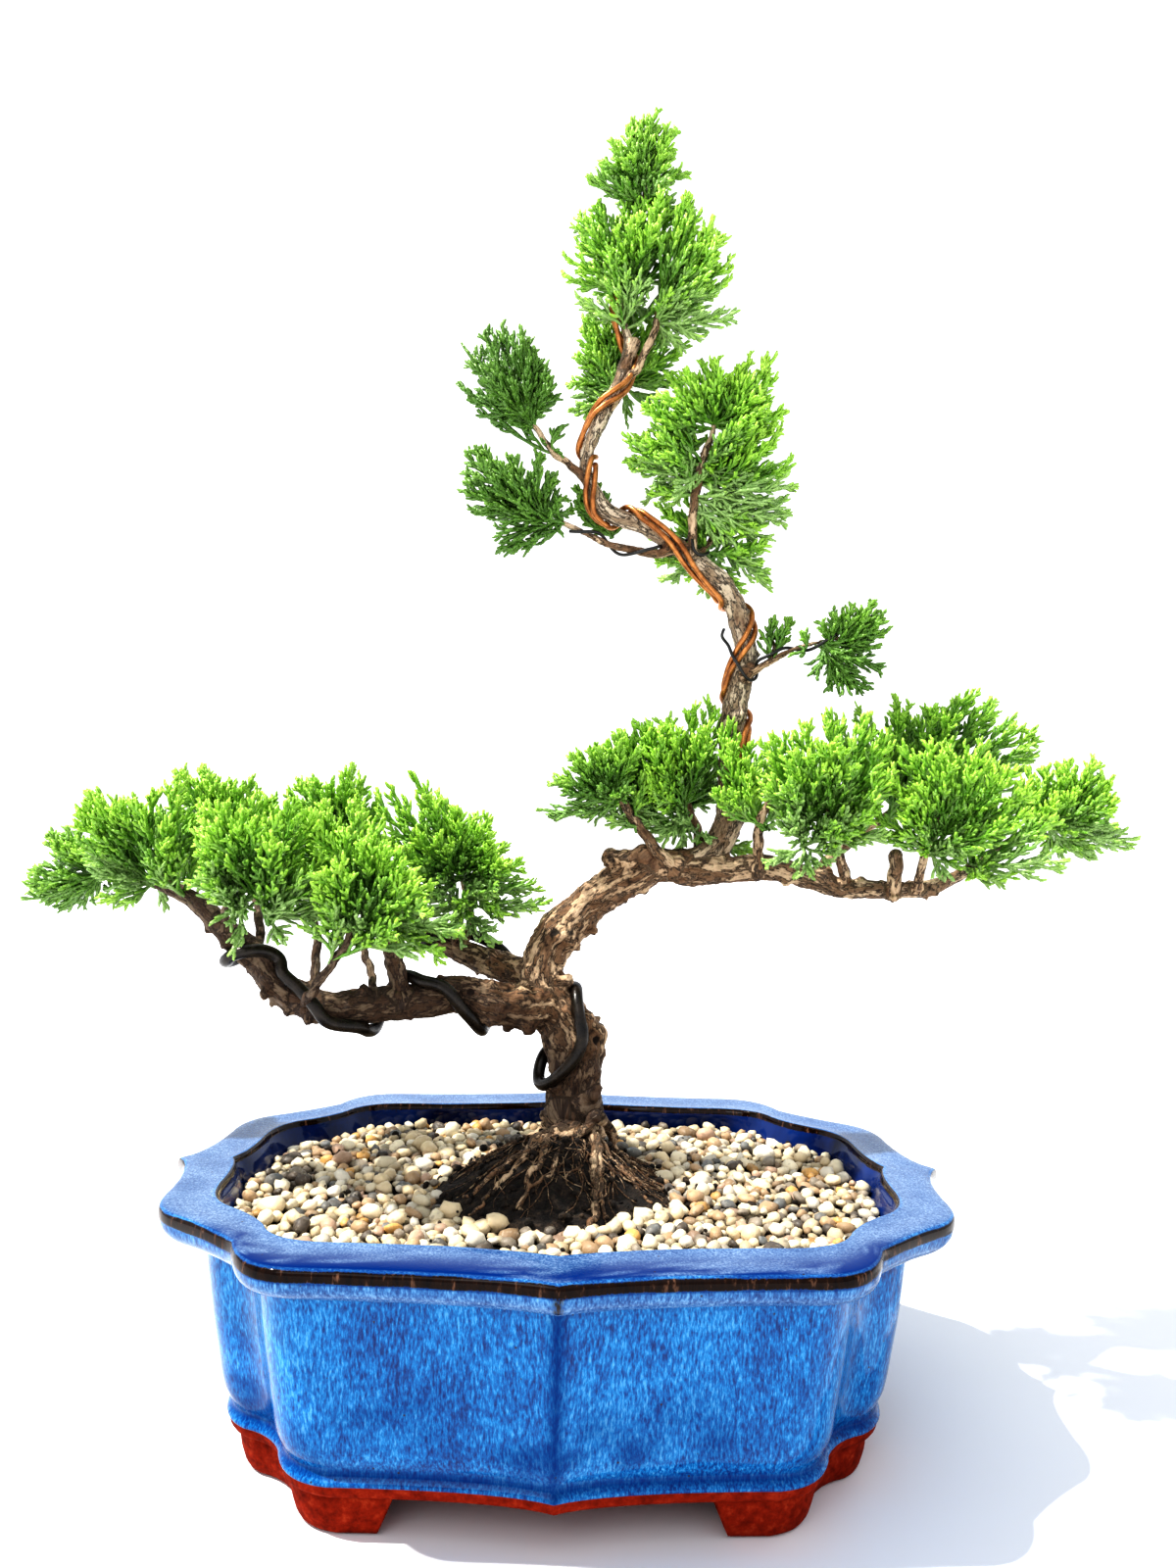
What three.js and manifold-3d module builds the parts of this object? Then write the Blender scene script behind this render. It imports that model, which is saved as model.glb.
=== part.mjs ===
// Shimpaku juniper bonsai in a lobed glazed pot, as a scene graph of closed solids.
// Millimetres, +Z up, +Y away from the viewer. The origin is on the ground under the middle of the pot.

import * as THREE from 'three';
import { mergeVertices } from 'three/addons/utils/BufferGeometryUtils.js';
import Module from 'manifold-3d';

const wasm = await Module();
wasm.setup();

// Driving dimensions of the pot
const POT_HEIGHT = 62;
const LIP_BOTTOM = 53.7; // height of the crease where the wall meets the rim
const LEAN_START = 50; // height above which the inner wall leans in to the mouth
const MOUTH_EDGE = 60.8; // height where the inner wall meets the mouth's rounded edge
const UNDERSIDE = 9.3; // the floor's lower face, so also the height of the feet
const FLOOR_TOP = 14;
const WALL_SHRINK = 0.925; // inner wall outline as a share of the outer wall outline
const DRAIN_RADIUS = 8;
const DRAIN_OFFSET = 40; // from the pot's middle to each drain hole
const FOOT_SETBACK = 0.975; // foot outline as a share of the wall's foot outline
const FOOT_DRAFT = 0.955; // how much a foot narrows from its top to the ground
const FOOT_WIDTH = 11;
const FOOT_END_X = 34; // where a foot stops on the front or back of the pot
const FOOT_END_Y = 12; // where it stops on the pot's end
const FOOT_SLANT = 4.5; // how much further from the middle a foot's ends are at the ground than at its top
const COVE_HEIGHT = 14; // middle of the hollow band above the foot

// Driving dimensions of the filling
const SOIL_LEVEL = 52;
const GRAVEL_LEVEL = 57.5;
const MOUND_TOP = 70;
const MOUND_BASE = 55.5; // height of the mound's edge
const MOUND_RADIUS = 34;
const MOUND_CENTRE = [-1, -3];
const FILL_SCALE = 0.99; // size of the filling as a share of the inside of the wall
const SCREEN_SIZE = 27;
const SCREEN_THICKNESS = 1;
const SCREEN_MESH = 6; // size of the openings in the drain screens
const SCREEN_BARS = 8; // spacing of those openings

// Driving dimensions of the wires
const DARK_WIRE = 3.4;
const COPPER_WIRE = 1.5;
const BLACK_WIRE = 0.9;

const GAP = 0.35; // air between pieces that touch in the real object
const WIRE_GAP = 0.7; // room for the bark's unevenness under a wire
const PAIR_LIFT = 2; // extra room where a thin wire runs over the copper pair
const TURN_STEP = 45; // largest turn in degrees between two points of a winding
const TWIG_SIDES = 6;
const LUMP_DEPTH = 0.07; // unevenness of a foliage clump, as a share of its size
const CLUMP_UNDERSIDE = 0.85; // how far a clump reaches down, as a share of how far it reaches up

// Each outline is a quarter of the lobed shape, from the side cusp to the front cusp: a start point, then a
// control point and an end point for each of five curves (flank, side corner, notch, front corner, front).
const RIM_OUTLINE = [
  [101, 0], [95.5, 6], [94.8, 26], [95.5, 40.5], [87, 46], [78, 52.5], [70, 61],
  [65.5, 76.5], [54, 76.6], [12, 78], [0, 83],
];
const MOUTH_OUTLINE = [
  [86, 0], [83, 6], [83, 22], [82.5, 34], [75.5, 39], [69, 44], [65.5, 50.5],
  [62, 60], [50, 60.5], [16, 61.5], [0, 67],
];
const WALL_TOP_OUTLINE = [
  [89.5, 0], [85.5, 6], [85, 24], [85, 38], [77.5, 43.5], [70, 46.5], [66.5, 54],
  [62.5, 67.5], [51, 68], [12, 69.5], [0, 75],
];
const WALL_FOOT_OUTLINE = [
  [82.5, 0], [79, 5], [78, 22], [78, 35.5], [70.5, 40.5], [63.5, 43], [60.5, 50],
  [58, 62], [47.5, 63.8], [11, 64.5], [0, 69.5],
];
const CURVE_STEPS = [2, 3, 2, 3, 2];

// Closed body from a geometry, ready for joining and cutting.
function solid(geometry) {
  const bare = geometry.clone();
  for (const name of ['normal', 'uv']) bare.deleteAttribute(name);
  const merged = mergeVertices(bare, 1e-4);
  const mesh = new wasm.Mesh({
    numProp: 3,
    vertProperties: new Float32Array(merged.attributes.position.array),
    triVerts: new Uint32Array(merged.index.array),
  });
  return new wasm.Manifold(mesh);
}

function geometryOf(body) {
  const { numProp, numVert, vertProperties, triVerts } = body.getMesh();
  const positions = new Float32Array(numVert * 3);
  for (let i = 0; i < numVert; i++) {
    positions.set(vertProperties.subarray(i * numProp, i * numProp + 3), i * 3);
  }
  const geometry = new THREE.BufferGeometry();
  geometry.setAttribute('position', new THREE.BufferAttribute(positions, 3));
  geometry.setIndex(new THREE.BufferAttribute(new Uint32Array(triVerts), 1));
  geometry.computeVertexNormals();
  return geometry;
}

function join(bodies) {
  return bodies.reduce((sum, body) => sum.add(body));
}

// The biggest of the bodies that a cut leaves.
function largest(body) {
  return body.decompose().reduce((best, next) => (next.volume() > best.volume() ? next : best));
}

// Pot

// The quarter outline as points, from the side cusp up to the front cusp.
function quarterPoints(outline) {
  const points = [new THREE.Vector2(...outline[0])];
  CURVE_STEPS.forEach((steps, i) => {
    const [start, control, end] = outline.slice(2 * i, 2 * i + 3).map((p) => new THREE.Vector2(...p));
    points.push(...new THREE.QuadraticBezierCurve(start, control, end).getPoints(steps).slice(1));
  });
  return points;
}

// The whole outline, anticlockwise from the right-hand cusp, with its first point repeated at the end.
function lobedLoop(outline) {
  const quarter = quarterPoints(outline);
  const back = quarter.slice(0, -1).reverse();
  const half = [...quarter, ...back.map((p) => new THREE.Vector2(-p.x, p.y))];
  const rest = half.slice(0, -1).reverse();
  return [...half, ...rest.map((p) => new THREE.Vector2(p.x, -p.y))];
}

const LOOPS = {
  rim: lobedLoop(RIM_OUTLINE),
  mouth: lobedLoop(MOUTH_OUTLINE),
  wallTop: lobedLoop(WALL_TOP_OUTLINE),
  wallFoot: lobedLoop(WALL_FOOT_OUTLINE),
};

// A ring at one height: a blend of two outlines, scaled about the pot's middle.
function ring(z, from, to, blend, scale = 1) {
  const points = LOOPS[from].map((p, i) => p.clone().lerp(LOOPS[to][i], blend).multiplyScalar(scale));
  return { z, points };
}

function wallRing(z, scale = 1) {
  const rise = (z - UNDERSIDE) / (LIP_BOTTOM - UNDERSIDE);
  return ring(z, 'wallFoot', 'wallTop', THREE.MathUtils.clamp(rise, 0, 1), scale);
}

// The inside of the bowl, from the floor up to just under the mouth's edge.
const INNER_RINGS = [
  wallRing(FLOOR_TOP, WALL_SHRINK),
  wallRing(LEAN_START, WALL_SHRINK),
  ring(MOUTH_EDGE, 'rim', 'mouth', 1.02),
];

// Solid through a stack of rings, closed on the axis at both ends. A lathe gives the grid of faces and its
// points are then moved out to the rings.
function loft(rings) {
  const axis = (z) => ({ z, points: rings[0].points.map(() => new THREE.Vector2(0, 0)) });
  const stack = [axis(rings[0].z), ...rings, axis(rings[rings.length - 1].z)];
  const profile = stack.map(({ z }, i) => new THREE.Vector2(i === 0 || i === stack.length - 1 ? 0 : 1, z));
  const segments = rings[0].points.length - 1;
  const geometry = new THREE.LatheGeometry(profile, segments);
  const position = geometry.attributes.position;
  for (let s = 0; s <= segments; s++) {
    stack.forEach(({ z, points }, j) => {
      const { x, y } = points[s % segments];
      position.setXYZ(s * stack.length + j, x, y, z);
    });
  }
  const body = solid(geometry);
  if (body.volume() > 0) return body;
  geometry.index.array.reverse();
  return solid(geometry);
}

function drainHole(x) {
  const geometry = new THREE.CylinderGeometry(DRAIN_RADIUS, DRAIN_RADIUS, 2 * FLOOR_TOP, 20);
  geometry.rotateX(Math.PI / 2);
  geometry.translate(x, 0, FLOOR_TOP);
  return solid(geometry);
}

function box(sx, sy, sz, x, y, z) {
  const geometry = new THREE.BoxGeometry(sx, sy, sz);
  geometry.translate(x, y, z);
  return solid(geometry);
}

// One foot: a band under the wall that wraps a corner, from the side lobe round the notch to the front.
function foot(signX, signY) {
  const all = quarterPoints(WALL_FOOT_OUTLINE).map((p) => p.clone().multiplyScalar(FOOT_SETBACK));
  const outer = all.filter((p) => p.y > FOOT_END_Y && p.x > FOOT_END_X);
  outer.push(new THREE.Vector2(FOOT_END_X, all.find((p) => p.x < FOOT_END_X).y));
  const inner = outer.map((p, i) => {
    const before = outer[Math.max(i - 1, 0)];
    const after = outer[Math.min(i + 1, outer.length - 1)];
    const along = after.clone().sub(before).normalize();
    return p.clone().add(new THREE.Vector2(-along.y, along.x).multiplyScalar(FOOT_WIDTH));
  });
  const shape = new THREE.Shape([...outer, ...inner.reverse()]);
  const geometry = new THREE.ExtrudeGeometry(shape, { depth: UNDERSIDE + 1, bevelEnabled: false });
  const position = geometry.attributes.position;
  for (let i = 0; i < position.count; i++) {
    if (position.getZ(i) > 0) continue;
    const [x, y] = [position.getX(i), position.getY(i)];
    const frontEnd = x < FOOT_END_X + 1;
    const sideEnd = y < outer[0].y + 1;
    position.setXY(i, x * FOOT_DRAFT + frontEnd * FOOT_SLANT, y * FOOT_DRAFT + sideEnd * FOOT_SLANT);
  }
  const body = solid(geometry);
  return body.scale([signX, signY, 1]);
}

function makePot() {
  const rings = [
    wallRing(UNDERSIDE, 0.93),
    wallRing(UNDERSIDE, 0.985),
    wallRing(UNDERSIDE + 0.8),
    wallRing(COVE_HEIGHT - 2),
    wallRing(COVE_HEIGHT, 0.982),
    wallRing(COVE_HEIGHT + 2.5, 0.992),
    wallRing(COVE_HEIGHT + 5, 1.003),
    wallRing(34, 1.005),
    wallRing(LIP_BOTTOM),
    ring(LIP_BOTTOM + 0.7, 'wallTop', 'rim', 0.6),
    ring(LIP_BOTTOM + 2.9, 'wallTop', 'rim', 0.92),
    ring(LIP_BOTTOM + 5.5, 'wallTop', 'rim', 1),
    ring(POT_HEIGHT - 0.8, 'wallTop', 'rim', 1),
    ring(POT_HEIGHT, 'rim', 'mouth', 0.06),
    ring(POT_HEIGHT, 'rim', 'mouth', 0.94),
    ...INNER_RINGS.toReversed(),
  ];
  const bowl = loft(rings);
  const feet = [[1, 1], [1, -1], [-1, 1], [-1, -1]].map(([x, y]) => foot(x, y));
  const holes = [drainHole(-DRAIN_OFFSET), drainHole(DRAIN_OFFSET)];
  return join([bowl, ...feet]).subtract(join(holes));
}

function makeScreen(x) {
  const z = FLOOR_TOP + GAP + SCREEN_THICKNESS / 2;
  const spots = [-SCREEN_BARS, 0, SCREEN_BARS];
  const openings = spots.flatMap((dx) =>
    spots.map((dy) => box(SCREEN_MESH, SCREEN_MESH, 2 * SCREEN_THICKNESS, x + dx, dy, z)),
  );
  return box(SCREEN_SIZE, SCREEN_SIZE, SCREEN_THICKNESS, x, 0, z).subtract(join(openings));
}

// Wood

// Each limb is a run of stations, [x, y, z, radius].
const LIMBS = {
  trunk: {
    sides: 10,
    stations: [
      [4, 9, 60, 8.6], [4, 9, 70, 8.2], [4, 9, 77, 7.7], [5, 9, 85, 7.3], [6, 9, 93, 6.9], [1, 9, 101, 7],
      [-4, 10, 107, 6.8], [-5, 11, 115, 6.3], [0, 12, 123, 6.2], [7, 12, 130, 5.7], [17, 12, 137, 5.2],
      [27, 12, 141, 4.7], [37, 12, 141, 4.4],
    ],
  },
  leader: {
    sides: 8,
    stations: [
      [33, 12, 140, 4.4], [42, 13, 146, 4.1], [46, 14, 157, 4], [46, 14, 179, 3.7], [48, 14, 192, 3.3],
      [49.5, 14, 202, 3], [48, 14, 207.5, 3], [46, 13, 214.5, 3], [43, 12, 219, 3], [38, 11, 223.5, 2.9],
      [32, 10, 228, 2.8], [20, 9, 235, 2.5], [9, 8, 239, 2.5], [5, 8, 245, 2], [3, 8, 252, 1.9],
      [5, 9, 260, 2], [8.5, 10, 268, 2.3], [13, 11, 279, 2.1], [14.5, 12, 288, 1.5], [12, 12, 297, 1.1],
      [13, 12, 308, 1], [17, 12, 322, 0.9], [19, 12, 340, 0.8],
    ],
  },
  rightLimb: {
    sides: 8,
    stations: [
      [31, 12, 140, 4.6], [44, 10, 140, 3.9], [55, 8, 141, 3.6], [65, 5, 139, 3.3], [75, 2, 136, 2.9],
      [82, -1, 136, 2.6], [90, -3, 136, 2.3], [97, -4, 137, 2.1], [104, -4, 140, 1.7], [112, -3, 145, 1.4],
      [122, -1, 151, 1.1], [134, 0, 155, 0.8],
    ],
  },
  leftLimb: {
    sides: 8,
    stations: [
      [2, 9, 101, 6.8], [-6, 8, 103, 6.8], [-13, 5, 102, 6.4], [-21, 2, 104, 5.6], [-29, 0, 106, 4.8],
      [-35, -2, 105, 4.6], [-45, -4, 104, 4.6], [-62, -8, 103, 4.4], [-70, -9, 106, 4.2],
      [-75, -10, 110, 4.1], [-79, -10, 116, 3.8], [-85, -11, 121, 3.4], [-92, -12, 128, 2.8],
      [-98, -8, 131, 2.3], [-108, -2, 134, 1.7], [-119, 6, 136, 1.2], [-130, 14, 136, 0.8],
    ],
  },
  leftBackLimb: {
    sides: 8,
    stations: [
      [-4, 11, 108, 5], [-15, 16, 111, 4.2], [-25, 23, 113, 3.7], [-36, 28, 117, 3.2], [-43, 31, 121, 2.6],
      [-53, 34, 127, 2], [-63, 36, 134, 1.5], [-72, 37, 142, 1],
    ],
  },
  sprig: {
    sides: 6,
    stations: [
      [48.5, 14, 194, 1.5], [53.5, 9.5, 197, 1.2], [58, 8, 199.5, 1], [63, 7, 202, 0.8], [76, 4, 205, 0.6],
    ],
  },
  crownTwig: {
    sides: 6,
    stations: [
      [29, 9, 229.5, 1.6], [23, 7, 227, 1.4], [17, 7, 228, 1.3], [9.5, 7, 229.5, 1.1], [4, 7, 232, 1],
      [-5, 7, 236, 0.8],
    ],
  },
};

const TWIGS = [
  [[-67, -9, 104, 1.5], [-63, -20, 109, 1.2], [-54, -26, 121, 1.1], [-51, -28, 130, 0.8]],
  [[-43, -4, 105, 2.6], [-44, -6, 113, 2.6], [-46, -11, 121, 2], [-50, -16, 134, 1]],
  [[-66, -8, 104, 1.4], [-67, 4, 112, 1.3], [-68, 8, 120, 1.2], [-73, 14, 132, 0.9]],
  [[-50, -5, 104, 1.1], [-53, 6, 112, 1.1], [-60, 18, 126, 0.8]],
  [[-80, -8, 116, 1.5], [-82, 2, 124, 1.2], [-92, 18, 143, 0.8]],
  [[-88, -11, 124, 1.1], [-83, -24, 131, 1], [-77, -30, 140, 0.8]],
  [[-30, 26, 115, 1.7], [-27, 24, 123, 1.3], [-30, 17, 141, 0.8]],
  [[28, 8, 142, 2.2], [23, 6, 147, 1.7], [15, 4, 158, 1.1], [9, 4, 163, 0.8]],
  [[38, 14, 142, 1.7], [37, 17, 150, 1.4], [33, 17, 160, 1]],
  [[53, 8, 141, 1.6], [52, 0, 151, 1.4], [54, -10, 164, 0.8]],
  [[76, 2, 138, 1.9], [73, -4, 143, 1.4], [67, -14, 160, 0.8]],
  [[68, 6, 139, 1.6], [79, 18, 147, 1.4], [92, 26, 155, 1.1], [104, 29, 165, 0.8]],
  [[87, -4, 136, 2.1], [87, -7, 146, 1.7]],
  [[93, -6, 137, 1.3], [93, -12, 146, 1], [95, -16, 156, 0.8]],
  [[56, 8.5, 198.5, 0.8], [57, 11, 202, 0.6], [56, 14, 207, 0.5]],
  [[33, 10, 227.5, 1.6], [33, 8, 233, 1.4], [33.5, 8, 244, 1.25], [35.5, 8, 252, 1.1], [39, 8, 264, 0.7]],
  [[34, 11, 227, 1.1], [42, 18, 236, 0.7]],
  [[4.5, 8, 246, 1.2], [-2, 7, 251.5, 1], [-7.5, 7, 256.5, 0.9], [-14, 6, 265, 0.7]],
  [[15, 9, 237, 0.9], [9, 15, 240, 0.6]],
  [[9, 11, 270, 1.1], [14, 22, 281, 0.7]],
  [[9.5, 10, 269, 1.3], [17, 9, 280.5, 1.25], [21, 9, 289, 1.1], [23, 9, 300, 0.7]],
  [[13, 11, 279, 2], [16, 10.5, 288, 1.9]],
];

const ROOTS = [
  [[4, 14, 75, 3.6], [-5, 16, 71, 1.9], [-14, 14, 69, 1.5], [-31, 8, 65, 0.6]],
  [[1, 2, 71, 2.7], [-10, -8, 67, 1.5], [-16, -13, 64, 1.3], [-24, -20, 62, 0.7]],
  [[-3, -4, 69, 1.8], [-10, -12, 66, 1.3], [-22, -27, 61, 0.6]],
  [[4, 2, 71, 2.4], [-4, -9, 66, 1.7], [-7, -18, 63, 1.1], [-9, -29, 59, 0.7]],
  [[7, -4, 67, 1], [-4, -18, 63, 0.8], [-11, -28, 60, 0.6]],
  [[9, 1, 74, 1.9], [3, -3, 71, 1.7], [-6, -7, 67, 0.7]],
  [[9, 2, 70, 2.2], [9, -8, 66, 1.8], [8, -24, 61.5, 1.6], [8, -34, 58, 1.2]],
  [[10, -4, 67, 1.3], [11, -18, 63, 1.1], [11, -28, 60, 0.8]],
  [[9, 4, 70, 1.9], [13, -4, 66, 1], [23, -18, 61, 0.7]],
  [[9, 9, 70, 2.4], [15, 7, 67, 1.3], [24, 3, 62.5, 0.7]],
  [[5, 14, 70, 2.4], [10, 21, 66, 1.4], [16, 30, 61, 0.7]],
  [[2, 14, 70, 2.2], [-3, 22, 66, 1.3], [-9, 31, 61, 0.7]],
];

function circle(radius) {
  return new THREE.Shape().absarc(0, 0, radius, 0, 2 * Math.PI);
}

function curveThrough(stations) {
  return new THREE.CatmullRomCurve3(stations.map(([x, y, z]) => new THREE.Vector3(x, y, z)));
}

// A value given at each station, read at a share of the curve's own parameter.
function between(values, share) {
  const place = THREE.MathUtils.clamp(share, 0, 1) * (values.length - 1);
  const low = Math.min(Math.floor(place), values.length - 2);
  return THREE.MathUtils.lerp(values[low], values[low + 1], place - low);
}

// A tube of unit radius swept along the stations, whose rings are then scaled to the radius at each.
function limb(stations, sides, extra = 0) {
  const route = curveThrough(stations);
  const steps = stations.length - 1;
  const geometry = new THREE.ExtrudeGeometry(circle(1), {
    extrudePath: route,
    steps,
    bevelEnabled: false,
    curveSegments: sides / 2,
  });
  const centres = route.getSpacedPoints(steps);
  const radii = stations.map((station) => station[3]);
  const ringRadii = centres.map((_, k) => between(radii, route.getUtoTmapping(k / steps)) + extra);
  const position = geometry.attributes.position;
  const point = new THREE.Vector3();
  for (let i = 0; i < position.count; i++) {
    point.fromBufferAttribute(position, i);
    const distances = centres.map((centre) => centre.distanceTo(point));
    const k = distances.indexOf(Math.min(...distances));
    point.sub(centres[k]).multiplyScalar(ringRadii[k]).add(centres[k]);
    position.setXYZ(i, point.x, point.y, point.z);
  }
  return solid(geometry);
}

function branchPieces(extra) {
  return [
    ...Object.values(LIMBS).map(({ stations, sides }) => limb(stations, sides, extra)),
    ...TWIGS.map((stations) => limb(stations, TWIG_SIDES, extra)),
  ];
}

function rootPieces(extra) {
  return ROOTS.map((stations) => limb(stations, TWIG_SIDES, extra));
}

// The wood is hollowed a little where a wire presses into it.
function makeWood(wiresGrown) {
  return largest(join([...branchPieces(0), ...rootPieces(0)]).subtract(wiresGrown));
}

// Soil and gravel

// A low uneven cone that the roots spread over.
function mound(grow) {
  const radius = MOUND_RADIUS + grow;
  const top = MOUND_TOP - MOUND_BASE + grow;
  const profile = [
    [0, -6], [radius, -6], [radius, 0], [0.74 * radius, 0.25 * top], [0.41 * radius, 0.7 * top],
    [0.15 * radius, top], [0, top],
  ];
  const geometry = new THREE.LatheGeometry(profile.map(([r, z]) => new THREE.Vector2(r, z)), 18);
  geometry.rotateX(Math.PI / 2);
  geometry.translate(...MOUND_CENTRE, MOUND_BASE);
  return solid(geometry);
}

// A ring of the filling: the inside of the wall at that height, a little smaller.
function fillRing(z) {
  const above = Math.max(1, INNER_RINGS.findIndex((inner) => inner.z > z));
  const [low, high] = INNER_RINGS.slice(above - 1, above + 1);
  const share = (z - low.z) / (high.z - low.z);
  const points = low.points.map((p, i) => p.clone().lerp(high.points[i], share).multiplyScalar(FILL_SCALE));
  return { z, points };
}

// Soil and gravel are cut clear of the trunk's foot and the roots.
function makeSoil(groundCut, screens) {
  const bed = loft([fillRing(FLOOR_TOP + GAP), fillRing(LEAN_START), fillRing(SOIL_LEVEL)]);
  const plates = screens.map((x) =>
    box(SCREEN_SIZE + 1, SCREEN_SIZE + 1, 2 * SCREEN_THICKNESS + 2 * GAP, x, 0, FLOOR_TOP + GAP),
  );
  return largest(join([bed, mound(0)]).subtract(join([...plates, groundCut])));
}

function makeGravel(groundCut) {
  const layer = loft([fillRing(SOIL_LEVEL + GAP), fillRing(GRAVEL_LEVEL)]);
  return largest(layer.subtract(join([mound(GAP), groundCut])));
}

// Wires

// A winding is a list of [station, angle, lift]: how far along a limb's stations the wire is, its angle round
// the limb in degrees (0 faces the viewer, 90 is right of a limb that climbs), and extra room.
function windingPoints(stations, wireRadius, turns, shift = 0) {
  const route = curveThrough(stations);
  const radii = stations.map((station) => station[3]);
  return turns.map(([place, angle, lift = 0]) => {
    const share = place / (stations.length - 1);
    const centre = route.getPoint(share);
    const tangent = route.getTangent(share);
    const front = new THREE.Vector3(0, -1, 0).addScaledVector(tangent, tangent.y).normalize();
    const side = new THREE.Vector3().crossVectors(tangent, front);
    const reach = between(radii, share) + wireRadius + WIRE_GAP + lift;
    const turn = THREE.MathUtils.degToRad(angle);
    return centre
      .addScaledVector(front, reach * Math.cos(turn))
      .addScaledVector(side, reach * Math.sin(turn))
      .addScaledVector(tangent, shift);
  });
}

// Fills in a winding so that no step turns further than TURN_STEP.
function finerTurns(turns) {
  return turns.flatMap((from, i) => {
    if (i === turns.length - 1) return [from];
    const to = turns[i + 1];
    const count = Math.max(1, Math.ceil(Math.abs(to[1] - from[1]) / TURN_STEP));
    const mix = (k, n) => THREE.MathUtils.lerp(from[n] ?? 0, to[n] ?? 0, k / count);
    return Array.from({ length: count }, (_, k) => [mix(k, 0), mix(k, 1), mix(k, 2)]);
  });
}

function wire(points, diameter, steps) {
  const geometry = new THREE.ExtrudeGeometry(circle(diameter / 2), {
    extrudePath: new THREE.CatmullRomCurve3(points),
    steps,
    bevelEnabled: false,
    curveSegments: 4,
  });
  return solid(geometry);
}

const COPPER_TURNS = [
  [2, 5], [2.5, 35], [2.95, 65], [3.3, 130], [3.55, 215], [3.75, 285], [4.05, 290], [4.3, 303], [4.65, 330],
  [4.95, 352], [5.3, 385], [5.85, 430], [6.25, 455], [6.6, 500], [7, 580], [7.35, 650], [7.7, 668],
  [8.3, 660], [9.2, 672], [9.85, 695], [10.35, 730], [10.65, 747], [11.1, 768], [11.4, 840], [11.6, 930],
  [11.8, 995], [12.15, 1008], [12.4, 1040], [12.85, 1080], [13.45, 1125], [13.9, 1150], [14.15, 1230],
  [14.4, 1320], [14.7, 1365], [15.1, 1380], [15.6, 1395], [16, 1432], [16.25, 1465], [16.65, 1512],
  [17.1, 1540], [17.4, 1575], [17.8, 1650], [18.2, 1712], [18.6, 1728], [19.05, 1765], [19.6, 1810],
];
const DARK_TRUNK_TURNS = [
  [3.9, 195], [3.5, 232], [3.15, 258, 0.5], [2.8, 268, 1], [2.5, 278, 0.9], [2.42, 296, 0.3], [2.6, 315],
  [3, 335], [3.65, 355], [4.25, 370], [4.7, 383], [5.25, 396], [5.8, 410], [6.2, 440], [6.3, 480, 0.5],
  [5.9, 530, 1], [5.4, 570, 1],
];
const DARK_LIMB_TURNS = [
  [2.3, 190, 1], [2.6, 240], [2.9, 285], [3.3, 318], [4.1, 345], [4.7, 390], [5.3, 415], [5.7, 460],
  [6.1, 540], [6.3, 620], [6.5, 675], [6.9, 695], [7.2, 728], [8.1, 758], [9.1, 764], [9.5, 782],
  [10, 757, 0.2], [10.4, 728, 0.4], [10.7, 700, 0.4], [10.75, 645, 0.3], [10.5, 590],
];
const DARK_BACK_TURNS = [
  [1.2, 200], [1.6, 150], [2, 112], [2.4, 95], [2.7, 75], [3, 20], [3.3, -50], [3.6, -120], [4, -190],
  [4.5, -265],
];
const SPRIG_LEADER_TURNS = [
  [6.2, 225, PAIR_LIFT], [5.85, 275, PAIR_LIFT], [5.3, 298, PAIR_LIFT], [4.8, 305, PAIR_LIFT],
  [4.5, 330, PAIR_LIFT], [4.25, 355, 1], [4.1, 380, 0.5], [4.15, 400, 0.5], [4.3, 425, 0.5],
];
const SPRIG_TURNS = [[0.9, 290], [1.4, 300], [2, 290], [2.6, 230], [3, 150], [3.4, 50], [3.8, -50]];
const CROWN_LEADER_TURNS = [
  [9.45, 110, 0.3], [9.45, 60, 0.3], [9.6, 18, 0.3], [9.85, 5, 0.8], [10.05, 30, 0.8], [10.15, 80, 0.8],
  [10.2, 130, 0.4], [10.2, 175], [10.25, 220], [10.4, 250], [10.5, 262],
];
const CROWN_TWIG_TURNS = [[0.7, 60], [1.4, 20], [2.2, -60], [3, -200], [3.7, -300], [4.5, -420]];

// The second copper wire lies beside the first: further along the leader and behind it in angle.
function copperPoints(beside) {
  const apart = beside * (COPPER_WIRE + GAP);
  const { stations } = LIMBS.leader;
  const radii = stations.map((station) => station[3]);
  const turns = finerTurns(COPPER_TURNS).map(([place, angle]) => {
    const reach = between(radii, place / (stations.length - 1)) + COPPER_WIRE / 2 + WIRE_GAP;
    return [place, angle - THREE.MathUtils.radToDeg(apart / reach)];
  });
  return windingPoints(stations, COPPER_WIRE / 2, turns, apart);
}

function darkLowerPoints() {
  const round = windingPoints(LIMBS.trunk.stations, DARK_WIRE / 2, finerTurns(DARK_TRUNK_TURNS));
  const along = windingPoints(LIMBS.leftLimb.stations, DARK_WIRE / 2, finerTurns(DARK_LIMB_TURNS));
  return [...round, ...along];
}

function darkBackPoints() {
  return windingPoints(LIMBS.leftBackLimb.stations, DARK_WIRE / 2, finerTurns(DARK_BACK_TURNS));
}

// A thin wire that starts on the leader and carries on along a twig.
function blackPoints(leaderTurns, twig, twigTurns) {
  const start = windingPoints(LIMBS.leader.stations, BLACK_WIRE / 2, finerTurns(leaderTurns));
  const end = windingPoints(twig.stations, BLACK_WIRE / 2, finerTurns(twigTurns));
  return [...start, ...end];
}

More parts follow.
